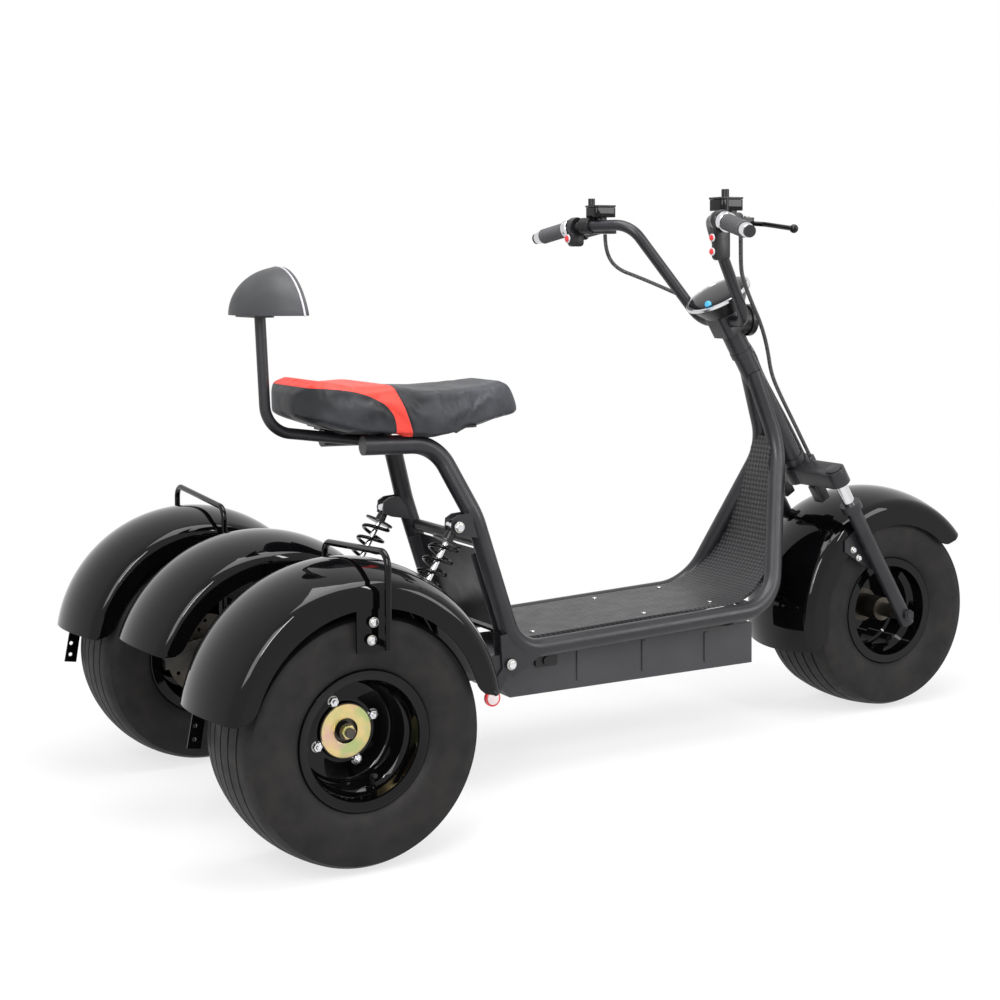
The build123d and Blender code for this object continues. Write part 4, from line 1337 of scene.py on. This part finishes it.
@dataclass
class Damper:
    """Damper with its perches, rod, body and clevis eyes."""

    side: Side
    foot: Point = (210, 153.5, 287)
    top: Point = (350, 153.5, 530)
    eye_gap: float = 12.5
    eye_radius: float = 0.0138
    eye_width: float = 0.021
    barrel: Profile = (
        (61, 0.05), (61, 29), (62, 30.5), (65, 30.5), (66, 29), (66, 17), (150, 17), (151.5, 15.5),
        (151.5, 6.2),
    )
    rod: Profile = ((12.5, 0.05), (12.5, 9), (61, 9), (61, 5.8), (245, 5.8), (245, 0.05))
    perch: Profile = ((245, 0.05), (245, 29), (246, 30.5), (249, 30.5), (250, 29), (250, 11))

    def build(self, finishes: Finishes) -> None:
        """Spins the body, rod and perches and sets the eyes.

        Args:
            finishes: The scooter's finishes.
        """
        name = self.side.label
        foot, top = self.side.at(*self.foot), self.side.at(*self.top)
        run = (top - foot).normalized()
        square = run.cross(ACROSS).normalized()
        neck = (top - foot).length * 1000 - self.eye_gap
        cap = (*self.perch, (neck, 9.5), (neck, 0.05))
        parts = (
            ("Damper_body", self.barrel, finishes.plastic, "satin_black"),
            ("Damper_rod", self.rod, finishes.chrome, "chrome"),
            ("Damper_cap", cap, finishes.plastic, "satin_black"),
        )
        for title, profile, material, slot in parts:
            piece = lathe(f"{title}_{name}", foot, run, square, profile)
            dress(piece, material, Body.CHASSIS, slot)
            if title == "Damper_body":
                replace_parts(piece, "shocks")
        out = self.side.out
        for title, place in (("low", foot), ("high", top)):
            start = place - out * self.eye_width / 2
            eye = disc(
                f"Damper_eye_{title}_{name}", start, out, self.eye_radius, self.eye_width, 40, 0.001
            )
            dress(eye, finishes.chrome, Body.CHASSIS, "chrome")


@dataclass
class Softened:
    """Copy of a solid with its sharp edges rounded as cast or pressed."""

    node: str
    body: Body
    slot: str
    width: float = 0.0015

    def build(self, material: bpy.types.Material) -> None:
        """Copies, merges and bevels the solid.

        Args:
            material: Its finish.
        """
        deselect()
        name = "Soft_" + self.node
        piece = only(add_object(name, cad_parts[self.node].data.copy()))
        bpy.ops.object.mode_set(mode="EDIT")
        bpy.ops.mesh.select_mode(type="VERT")
        bpy.ops.mesh.select_all(action="SELECT")
        bpy.ops.mesh.remove_doubles(threshold=0.00002)
        bpy.ops.mesh.dissolve_limited(angle_limit=math.radians(0.5))
        bpy.ops.object.mode_set(mode="OBJECT")
        finish_modifier(
            piece, "BEVEL", width=self.width, segments=3, limit_method="ANGLE",
            angle_limit=math.radians(35), use_clamp_overlap=True,
        )
        settle(piece, name, 40)
        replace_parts(dress(piece, material, self.body, self.slot), self.node)


def moulded(
    name: str, low: Vector, high: Vector, along: int, rounding: float, soft: float = 0.001
) -> bpy.types.Object:
    """Block with large rounded corners round one axis and softened edges.

    Args:
        name: The piece's name.
        low: One corner.
        high: The opposite corner.
        along: Number of the axis that the rounded corners run along.
        rounding: Radius of those corners.
        soft: Width of the softened edges.

    Returns:
        The block.
    """
    deselect()
    bpy.ops.mesh.primitive_cube_add(size=1)
    piece = bpy.context.object
    for vertex in piece.data.vertices:
        ends = zip(vertex.co, low, high)
        vertex.co = Vector([max(a, b) if share > 0 else min(a, b) for share, a, b in ends])
    bpy.ops.object.mode_set(mode="EDIT")
    bpy.ops.mesh.select_mode(type="EDGE")
    mesh = bmesh.from_edit_mesh(piece.data)
    for edge in mesh.edges:
        run = edge.verts[1].co - edge.verts[0].co
        edge.select_set(abs(run[along]) > 0.99 * run.length)
    bmesh.update_edit_mesh(piece.data)
    bpy.ops.mesh.bevel(offset=rounding, segments=8)
    bpy.ops.object.mode_set(mode="OBJECT")
    finish_modifier(
        piece, "BEVEL", width=soft, segments=2, limit_method="ANGLE", angle_limit=math.radians(50)
    )
    return settle(piece, name, 40)


@dataclass
class BrakeMaster:
    """Brake master on its bar clamp: reservoir with lid, lever bracket and mirror boss."""

    side: Side
    bar_inner: Point = (971, 151, 1130)
    bar_outer: Point = (906, 280, 1128)
    clamp_at: Point = (919.5, 253, 1128.2)
    clamp: Profile = (
        (-12.5, 12.7), (-12.5, 19), (-11.5, 20), (11.5, 20), (12.5, 19), (12.5, 12.7),
    )
    boss_at: Point = (934, 254, 1192)
    boss: Profile = (
        (-20, 0.05), (-20, 4), (-0.6, 4), (0, 4.6), (0, 7.4), (-0.6, 8), (-52, 8), (-52, 0.05),
    )
    screws: Sequence[Point] = ((924, 220, 1175.5), (972, 256, 1175.5))
    pivot: Point = (986, 258, 1133.5)

    def build(self, finishes: Finishes) -> None:
        """Models the cylinder, reservoir, lever bracket, clamp and open boss.

        Args:
            finishes: The scooter's finishes.
        """
        spot, name = self.side.at, self.side.label
        black, gloss = finishes.plastic, finishes.paint
        blocks = (
            ("Master_body", (926, 242, 1112), (972, 266, 1144), 1, 0.010, black),
            ("Reservoir_neck", (938, 232, 1138), (966, 258, 1150), 2, 0.010, black),
            ("Lever_bracket", (958, 243, 1111), (1000, 272, 1134), 2, 0.011, black),
            ("Reservoir", (920, 215, 1148), (977, 261, 1171), 2, 0.007, gloss),
            ("Reservoir_lid", (918, 214, 1171.5), (978, 262, 1176), 2, 0.008, black),
        )
        for title, low, high, along, rounding, material in blocks:
            block = moulded(f"{title}_{name}", spot(*low), spot(*high), along, rounding)
            dress(block, material, Body.STEERING, "satin_black")
        run = (spot(*self.bar_inner) - spot(*self.bar_outer)).normalized()
        square = run.cross(UP).normalized()
        clamp = lathe("Master_clamp_" + name, spot(*self.clamp_at), run, square, self.clamp)
        dress(clamp, black, Body.STEERING, "satin_black")
        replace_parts(clamp, "brake_masters")
        ahead = Vector((1, 0, 0))
        boss = lathe("Mirror_boss_" + name, spot(*self.boss_at), UP, ahead, self.boss, 40)
        dress(boss, black, Body.STEERING, "satin_black")
        for number, place in enumerate(self.screws):
            screw = disc(f"Lid_screw_{name}_{number}", spot(*place), UP, 0.0028, 0.0012, 20, 0.0005)
            dress(screw, finishes.steel, Body.STEERING, "steel")
        pivot = disc("Lever_pivot_" + name, spot(*self.pivot), UP, 0.0058, 0.004, 6)
        dress(pivot, finishes.steel, Body.STEERING, "steel")


@dataclass
class SwitchPod:
    """Switch housing clamped on the bar beside the grip."""

    side: Side
    low: float
    back: float = 886
    front: float = 924
    inner: float = 270.5
    outer: float = 285.5
    top: float = 1118
    rounding: float = 0.009
    soft: float = 0.003
    bar: Point = (905.5, 278, 1128)
    sleeve: Profile = ((-8, 12.7), (-8, 20), (-6.5, 21.5), (6.5, 21.5), (8, 20), (8, 12.7))

    def build(self, finishes: Finishes) -> None:
        """Models the sleeve and the switch housing below it.

        Args:
            finishes: The scooter's finishes.
        """
        name = self.side.label
        low = self.side.at(self.back, self.inner, self.low)
        high = self.side.at(self.front, self.outer, self.top)
        housing = moulded("Switch_housing_" + name, low, high, 1, self.rounding, self.soft)
        dress(housing, finishes.plastic, Body.STEERING, "satin_black")
        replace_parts(housing, "switch_pods")
        centre = self.side.at(*self.bar)
        sleeve = lathe("Switch_sleeve_" + name, centre, ACROSS, UP, self.sleeve)
        dress(sleeve, finishes.plastic, Body.STEERING, "satin_black")


@dataclass
class Hoses:
    """Braided brake hoses from the masters down to the fork crown."""

    radius: float = 0.0044
    route: Sequence[Point] = (
        (972, 256, 1110), (972, 256, 1072), (988, 236, 1030), (1028, 190, 1008), (1110, 112, 958),
        (1180, 58, 905), (1222, 28, 848), (1240, 18, 790), (1268, 14, 742),
    )
    ahead: float = 38
    apart: float = 11
    crown: float = 404
    straight: float = 80

    def build(self, finishes: Finishes) -> None:
        """Lays both hoses in the place of their solids.

        Args:
            finishes: The scooter's finishes.
        """
        for side in Side:
            points = [side.at(*place) for place in self.route]
            for along in (self.crown + self.straight, self.crown):
                points.append(steer_at(self.ahead, side.value * self.apart, along))
            hose = tube("Brake_hose_" + side.label, points, self.radius)
            dress(hose, finishes.braid, Body.STEERING, "hose_braid")
            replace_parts(hose, "brake_hoses")


@dataclass
class FloorMat:
    """Screws of the rubber mat on the floor board and the apron."""

    places: Sequence[Point] = ((560, 97, 287.6), (836, 97, 297), (1010, 97, 304))
    sunk: float = 0.6
    tilt: Point = (-0.0355, 0, 1)

    def build(self, finishes: Finishes) -> None:
        """Sets the screws, square to the sloping floor.

        Args:
            finishes: The scooter's finishes.
        """
        for side in Side:
            for number, (x, y, z) in enumerate(self.places):
                place, name = side.at(x, y, z - self.sunk), f"Mat_screw_{side.label}_{number}"
                screw = disc(name, place, Vector(self.tilt), 0.005, 0.002, 24, 0.001)
                dress(screw, finishes.chrome, Body.CHASSIS, "chrome")


@dataclass
class Grip:
    """Ribbed grip between its collar and the bar's end cap."""

    side: Side
    hand: Point = (906, 280, 1128)
    tip: Point = (877, 410, 1102)
    ribs: int = 16
    first_rib: float = 31
    rib_pitch: float = 4.3
    collar: Profile = (
        (104.3, 12.6), (104.3, 19), (105.5, 20.4), (109, 20.9), (112, 19.6), (116, 20.9),
        (120, 20.9), (122, 19.5), (122, 12.6),
    )
    cap: Profile = (
        (26, 12.6), (26, 14.6), (24.5, 14.9), (14, 14.7), (8, 13.4), (1.5, 11.2), (0.2, 9.8),
        (0.2, 5.2), (5.5, 5.2), (5.5, 0.05),
    )

    def grip_profile(self) -> list[tuple[float, float]]:
        """Section of the ribbed grip.

        Returns:
            Pairs of millimetres in from the tip and radius.
        """
        points: list[tuple[float, float]] = [(26.3, 12.6), (26.3, 16.5), (27.5, 17.4), (31, 17.4)]
        for number in range(self.ribs):
            start = self.first_rib + number * self.rib_pitch
            points += [(start + 1.0, 15.9), (start + 2.2, 15.9), (start + 3.1, 17.4)]
            points.append((start + self.rib_pitch, 17.4))
        return points + [(103, 17.4), (104, 16.5), (104, 12.6)]

    def build(self, finishes: Finishes) -> None:
        """Spins grip, collar and cap round the bar.

        Args:
            finishes: The scooter's finishes.
        """
        tip = self.side.at(*self.tip)
        run = (self.side.at(*self.hand) - tip).normalized()
        square = run.cross(UP).normalized()
        rings = (
            ("Grip", self.grip_profile(), finishes.grip, "grip_rubber", "grips"),
            ("Grip_collar", self.collar, finishes.chrome, "chrome", "grip_collars"),
            ("Bar_end", self.cap, finishes.chrome, "chrome", "bar_ends"),
        )
        for title, profile, material, slot, node in rings:
            sleeve = lathe(f"{title}_{self.side.label}", tip, run, square, profile)
            dress(sleeve, material, Body.STEERING, slot)
            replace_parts(sleeve, node)


@dataclass
class Cockpit:
    """Display, key and buttons of the handlebar."""

    ahead: float = 10
    rim: Profile = (
        (857, 70), (858.6, 71), (858.6, 75.4), (857.4, 76.4), (852, 76.4), (851, 75.6), (851, 70),
    )
    glass: Profile = ((857.5, 70.5), (859.5, 66), (861.5, 50), (862.7, 25), (863, 0.05))
    key: Point = (1056, -30, 950)
    key_way: Point = (-0.75, -0.62, 0.1)
    key_long: float = 0.016
    buttons: Sequence[tuple[str, Point, float]] = (
        ("Start_button", (884, -278, 1092), 0.006),
        ("Light_button", (884, -278, 1064), 0.006),
        ("Horn_button", (884, 278, 1100), 0.0075),
    )
    ring_share: float = 1.35
    ring_high: float = 0.0025

    def build(self, finishes: Finishes) -> None:
        """Sets the display's glass and rim, the key and the buttons.

        Args:
            finishes: The scooter's finishes.
        """
        centre = steer_at(self.ahead, 0, 0)
        up = Vector((-math.sin(RAKE), 0, math.cos(RAKE)))
        ahead = Vector((math.cos(RAKE), 0, math.sin(RAKE)))
        rim = lathe("Display_rim", centre, up, ahead, self.rim, 96)
        dress(rim, finishes.chrome, Body.STEERING, "chrome")
        glass = lathe("Display_glass", centre, up, ahead, self.glass, 96)
        dress(glass, finishes.glass, Body.STEERING, "satin_black")
        key, toward = at(*self.key), Vector(self.key_way).normalized()
        foot = key - toward * self.key_long
        barrel = disc("Key_barrel", foot, toward, 0.0085, self.key_long)
        dress(barrel, finishes.plastic, Body.STEERING, "satin_black")
        cover = disc("Key_cover", key, toward, 0.0078, 0.003, 32, 0.0012)
        dress(cover, finishes.blue, Body.STEERING)
        back = Vector((-1, 0, 0))
        for name, spot, radius in self.buttons:
            place = at(*spot)
            ring = disc(name + "_ring", place, back, radius * self.ring_share, self.ring_high)
            dress(ring, finishes.pale, Body.STEERING)
            button = disc(name, place + back * 0.002, back, radius, 0.003, 32, 0.0014)
            dress(button, finishes.red, Body.STEERING)


@dataclass
class Reflectors:
    """Pale lenses of the round side reflectors."""

    place: Point = (421, 177.5, 183)
    radius: float = 0.0165
    lens_share: float = 0.78

    def build(self, finishes: Finishes) -> None:
        """Sets a lens in the red rim on both sides.

        Args:
            finishes: The scooter's finishes.
        """
        for side in Side:
            radius = self.radius * self.lens_share
            foot = side.at(*self.place)
            lens = disc("Reflector_lens_" + side.label, foot, side.out, radius, 0.0015)
            dress(lens, finishes.lens, Body.CHASSIS)


@dataclass
class Fasteners:
    """Bolts at the pivots, dampers, grab handles and stays, and the fork's caps."""

    bolts: Sequence[tuple[str, Point, float]] = (
        ("Pivot_bolt", (465, 175.4, 245), 0.0082), ("Shock_bolt", (350, 175.4, 530), 0.0082),
        ("Handle_bolt_high", (3, 514, 440), 0.0066), ("Handle_bolt_low", (-1, 514, 410), 0.0066),
    )
    bolt_thick: float = 0.004
    stay_bolts: Sequence[Point] = ((-36, 120.2, 205), (-32, 120.2, 180))
    fork_cap: Point = (0, 134, 403.6)
    axle_end: Point = (1530, 158.5, 228.5)

    def build(self, finishes: Finishes) -> None:
        """Sets every bolt head and cap.

        Args:
            finishes: The scooter's finishes.
        """
        axis = steer_at(0, 0, 1) - steer_at(0, 0, 0)
        for side in Side:
            out, name = side.out, side.label
            for title, spot, size in self.bolts:
                place = side.at(*spot)
                bolt = Bolt(f"{title}_{name}", place, out, Body.CHASSIS, size, self.bolt_thick)
                bolt.build(finishes)
            for number, (ahead, y, along) in enumerate(self.stay_bolts):
                place, title = steer_at(ahead, side.value * y, along), f"Stay_bolt_{name}_{number}"
                Bolt(title, place, out, Body.STEERING, 0.006, 0.005).build(finishes)
            ahead, y, along = self.fork_cap
            place = steer_at(ahead, side.value * y, along)
            cap = disc("Fork_cap_" + name, place, axis, 0.0185, 0.004)
            dress(cap, finishes.powder, Body.STEERING, "frame_black")
            stub = disc("Front_axle_end_" + name, side.at(*self.axle_end), out, 0.0078, 0.002)
            dress(stub, finishes.chrome, Body.STEERING, "chrome")


@dataclass
class CarriedOver:
    """Finishes of the solids that stay as they are."""

    powder: Sequence[str] = (
        "frame_rail_right", "frame_rail_left", "head_tube", "frame_braces", "frame_brackets",
        "swing_arm", "seat_brackets", "backrest_post", "fork_legs", "steering_stem", "handlebar",
        "fender_stays", "rear_axle",
    )
    plastic: Sequence[str] = ("dash_display", "charge_socket", "headlight", "seat_pan")
    gloss: Sequence[str] = ("grab_handles", "fender_carriers", "brake_levers", "fender_tabs")
    discs: Sequence[str] = ("hub_rear_right", "hub_rear_left", "hub_front")

    def build(self, finishes: Finishes) -> None:
        """Dresses the solids.

        Args:
            finishes: The scooter's finishes.
        """
        groups = (
            (self.powder, finishes.powder), (self.plastic, finishes.plastic),
            (self.gloss, finishes.paint), (self.discs, finishes.disc),
            (("fork_stanchions",), finishes.chrome), (("floor_board",), finishes.mat),
            (("reflectors",), finishes.red),
        )
        for names, material in groups:
            for name in names:
                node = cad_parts[name]
                node.data.materials.clear()
                node.data.materials.append(material)


@dataclass
class Studio:
    """White floor, soft lamps and the photograph's camera."""

    position: tuple[float, float, float] = (-1.2342, -3.1341, 1.0373)
    yaw: float = 1.0671
    pitch: float = -0.0582
    roll: float = -0.0089
    focal: float = 1731.9
    middle: tuple[float, float] = (478.9, 367.7)
    sensor: float = 36
    frame_size: float = 1000
    aim: Point = (0, 0, 0.45)
    sky: float = 0.55
    pale: Sequence[float] = (0.86, 0.88)
    lamps: Sequence[tuple[str, Point, tuple[float, float], float]] = (
        ("Top_box", (-0.3, -0.4, 3.2), (2.6, 1.8), 95),
        ("Right_box", (-2.6, -2.6, 2.2), (1.2, 2.2), 62),
        ("Left_box", (2.4, -2.9, 1.9), (1.0, 2.0), 45),
        ("Right_strip", (-1.9, -2.3, 2.2), (0.13, 1.5), 24),
        ("Front_strip", (0.6, -2.6, 2.6), (0.13, 1.4), 19),
    )

    def camera(self) -> None:
        """Places the camera where the photograph was taken."""
        data = bpy.data.cameras.new("Photo_camera")
        piece = add_object("Photo_camera", data)
        data.sensor_width = self.sensor
        data.lens = self.focal * self.sensor / self.frame_size
        data.shift_x = (self.frame_size / 2 - self.middle[0]) / self.frame_size
        data.shift_y = -(self.frame_size / 2 - self.middle[1]) / self.frame_size
        level = math.cos(self.pitch)
        forward = Vector(
            (math.cos(self.yaw) * level, math.sin(self.yaw) * level, math.sin(self.pitch))
        )
        right = Vector((math.sin(self.yaw), -math.cos(self.yaw), 0))
        up = right.cross(forward)
        turned_right = right * math.cos(self.roll) + up * math.sin(self.roll)
        turned_up = up * math.cos(self.roll) - right * math.sin(self.roll)
        basis = Matrix((turned_right, turned_up, -forward)).transposed().to_4x4()
        place = Vector(self.position) + Vector((REAR_AXLE_X, 0, 0))
        piece.matrix_world = Matrix.Translation(place) @ basis
        bpy.context.scene.camera = piece

    def lamp(self, name: str, place: Vector, size: tuple[float, float], power: float) -> None:
        """One soft box aimed at the scooter.

        Args:
            name: The lamp's name.
            place: Where it stands.
            size: Its width and height.
            power: Its power in watts.
        """
        data = bpy.data.lights.new(name, "AREA")
        data.shape = "RECTANGLE"
        data.size, data.size_y = size
        data.energy = power
        aim = (Vector(self.aim) - place).to_track_quat("-Z", "Y").to_matrix().to_4x4()
        add_object(name, data).matrix_world = Matrix.Translation(place) @ aim

    @staticmethod
    def seen_rays(tree: bpy.types.NodeTree) -> bpy.types.NodeSocket:
        """1 for rays of the camera, of reflections and through glass.

        Args:
            tree: The node tree that takes the nodes.

        Returns:
            The socket with that share.
        """
        rays = tree.nodes.new("ShaderNodeLightPath")
        first = tree.nodes.new("ShaderNodeMath")
        second = tree.nodes.new("ShaderNodeMath")
        first.operation = second.operation = "MAXIMUM"
        tree.links.new(rays.outputs["Is Camera Ray"], first.inputs[0])
        tree.links.new(rays.outputs["Is Glossy Ray"], first.inputs[1])
        tree.links.new(first.outputs[0], second.inputs[0])
        tree.links.new(rays.outputs["Is Transmission Ray"], second.inputs[1])
        return second.outputs[0]

    def floor(self) -> None:
        """Makes the floor, pale under the scooter and fading to white."""
        deselect()
        bpy.ops.mesh.primitive_plane_add(size=40, location=(0, 0, -0.0005))
        floor = bpy.context.object
        floor.name = "Studio_floor"
        graph = Graph("studio_white")
        graph.shader.inputs["Roughness"].default_value = 0.9
        darker, paler = ((grey, grey, grey) for grey in self.pale)
        graph.link(
            graph.blend(graph.noise(2), darker, paler), graph.shader.inputs["Base Color"]
        )
        x, y, _ = graph.axes()
        squares = graph.math("ADD", graph.math("MULTIPLY", x, x), graph.math("MULTIPLY", y, y))
        far = graph.spread(graph.math("SQRT", squares), 0.9, 2.6, 0.72, 1.0)
        rays = self.seen_rays(graph.tree)
        glow = graph.tree.nodes.new("ShaderNodeEmission")
        cover = graph.tree.nodes.new("ShaderNodeMixShader")
        graph.link(graph.math("MULTIPLY", far, rays), cover.inputs[0])
        graph.link(graph.shader.outputs["BSDF"], cover.inputs[1])
        graph.link(glow.outputs[0], cover.inputs[2])
        surface = next(node for node in graph.tree.nodes if node.type == "OUTPUT_MATERIAL")
        graph.link(cover.outputs[0], surface.inputs["Surface"])
        floor.data.materials.append(graph.material)

    def world(self) -> None:
        """Makes the world: plain light, and white where rays see it."""
        world = bpy.data.worlds.new("Studio_world")
        world.use_nodes = True
        bpy.context.scene.world = world
        tree = world.node_tree
        tree.nodes.clear()
        output = tree.nodes.new("ShaderNodeOutputWorld")
        mix = tree.nodes.new("ShaderNodeMixShader")
        tree.links.new(self.seen_rays(tree), mix.inputs[0])
        for number, strength in enumerate((self.sky, 1.0)):
            sky = tree.nodes.new("ShaderNodeBackground")
            sky.inputs["Color"].default_value = (1, 1, 1, 1)
            sky.inputs["Strength"].default_value = strength
            tree.links.new(sky.outputs[0], mix.inputs[number + 1])
        tree.links.new(mix.outputs[0], output.inputs["Surface"])

    def build(self) -> None:
        """Makes floor, world, lamps and camera."""
        self.floor()
        self.world()
        bpy.context.scene.view_settings.view_transform = "Standard"
        for name, place, size, power in self.lamps:
            self.lamp(name, Vector(place), size, power)
        self.camera()


def build_fenders(finishes: Finishes) -> None:
    """Makes the four fenders.

    Args:
        finishes: The scooter's finishes.
    """
    for side in Side:
        rear = Fender(side.label, Body.CHASSIS, side.at(-2, 390, 248.5), 285, 254, 214, 8, 170, 121)
        rear.build(finishes)
    middle = Fender("middle", Body.CHASSIS, at(-2, 0, 248.5), 283, 252, 214, 30, 161, 121)
    middle.build(finishes)
    front = Fender("front", Body.STEERING, at(1530, 0, 228.5), 284, 256, 204, 40, 195, 116)
    front.build(finishes)


def build_wheels(finishes: Finishes) -> None:
    """Makes the three wheels.

    Args:
        finishes: The scooter's finishes.
    """
    for side, body in ((Side.RIGHT, Body.REAR_RIGHT), (Side.LEFT, Body.REAR_LEFT)):
        title, centre = "rear_" + side.label, side.at(0, HALF_TRACK * 1000, AXLE_Z * 1000)
        Wheel(title, body, centre, side, side).build(finishes)
        RearHubFace(title, body, centre, side).build(finishes)
    front = at(WHEELBASE * 1000, 0, AXLE_Z * 1000)
    Wheel("front", Body.FRONT_WHEEL, front, Side.LEFT).build(finishes)


def main() -> None:
    """Builds the scooter's pieces in order."""
    logging.basicConfig(level=logging.INFO)
    finishes = Finishes()
    CarriedOver().build(finishes)
    build_wheels(finishes)
    build_fenders(finishes)
    Saddle().build(finishes)
    BackPad().build(finishes)
    for side in Side:
        Spring(side).build(finishes)
        Damper(side).build(finishes)
        Grip(side).build(finishes)
        BrakeMaster(side).build(finishes)
    SwitchPod(Side.RIGHT, 1046).build(finishes)
    SwitchPod(Side.LEFT, 1082).build(finishes)
    softened = (
        ("fork_crown", Body.STEERING, "frame_black", 0.004, finishes.powder),
        ("crown_bumpers", Body.STEERING, "satin_black", 0.004, finishes.plastic),
        ("bar_clamp", Body.STEERING, "frame_black", 0.002, finishes.powder),
        ("front_caliper", Body.STEERING, "steel", 0.0015, finishes.casting),
        ("rear_calipers", Body.CHASSIS, "steel", 0.0015, finishes.casting),
        ("battery_case", Body.CHASSIS, "satin_black", 0.002, finishes.case),
        ("drive_motor", Body.CHASSIS, "satin_black", 0.004, finishes.plastic),
        ("rear_panel", Body.CHASSIS, "satin_black", 0.0008, finishes.powder),
    )
    for node, body, slot, width, material in softened:
        Softened(node, body, slot, width).build(material)
    Hoses().build(finishes)
    FloorMat().build(finishes)
    Cockpit().build(finishes)
    Reflectors().build(finishes)
    Fasteners().build(finishes)
    log.info("scooter done, setting up the studio")
    Studio().build()


if __name__ == "__main__":
    main()
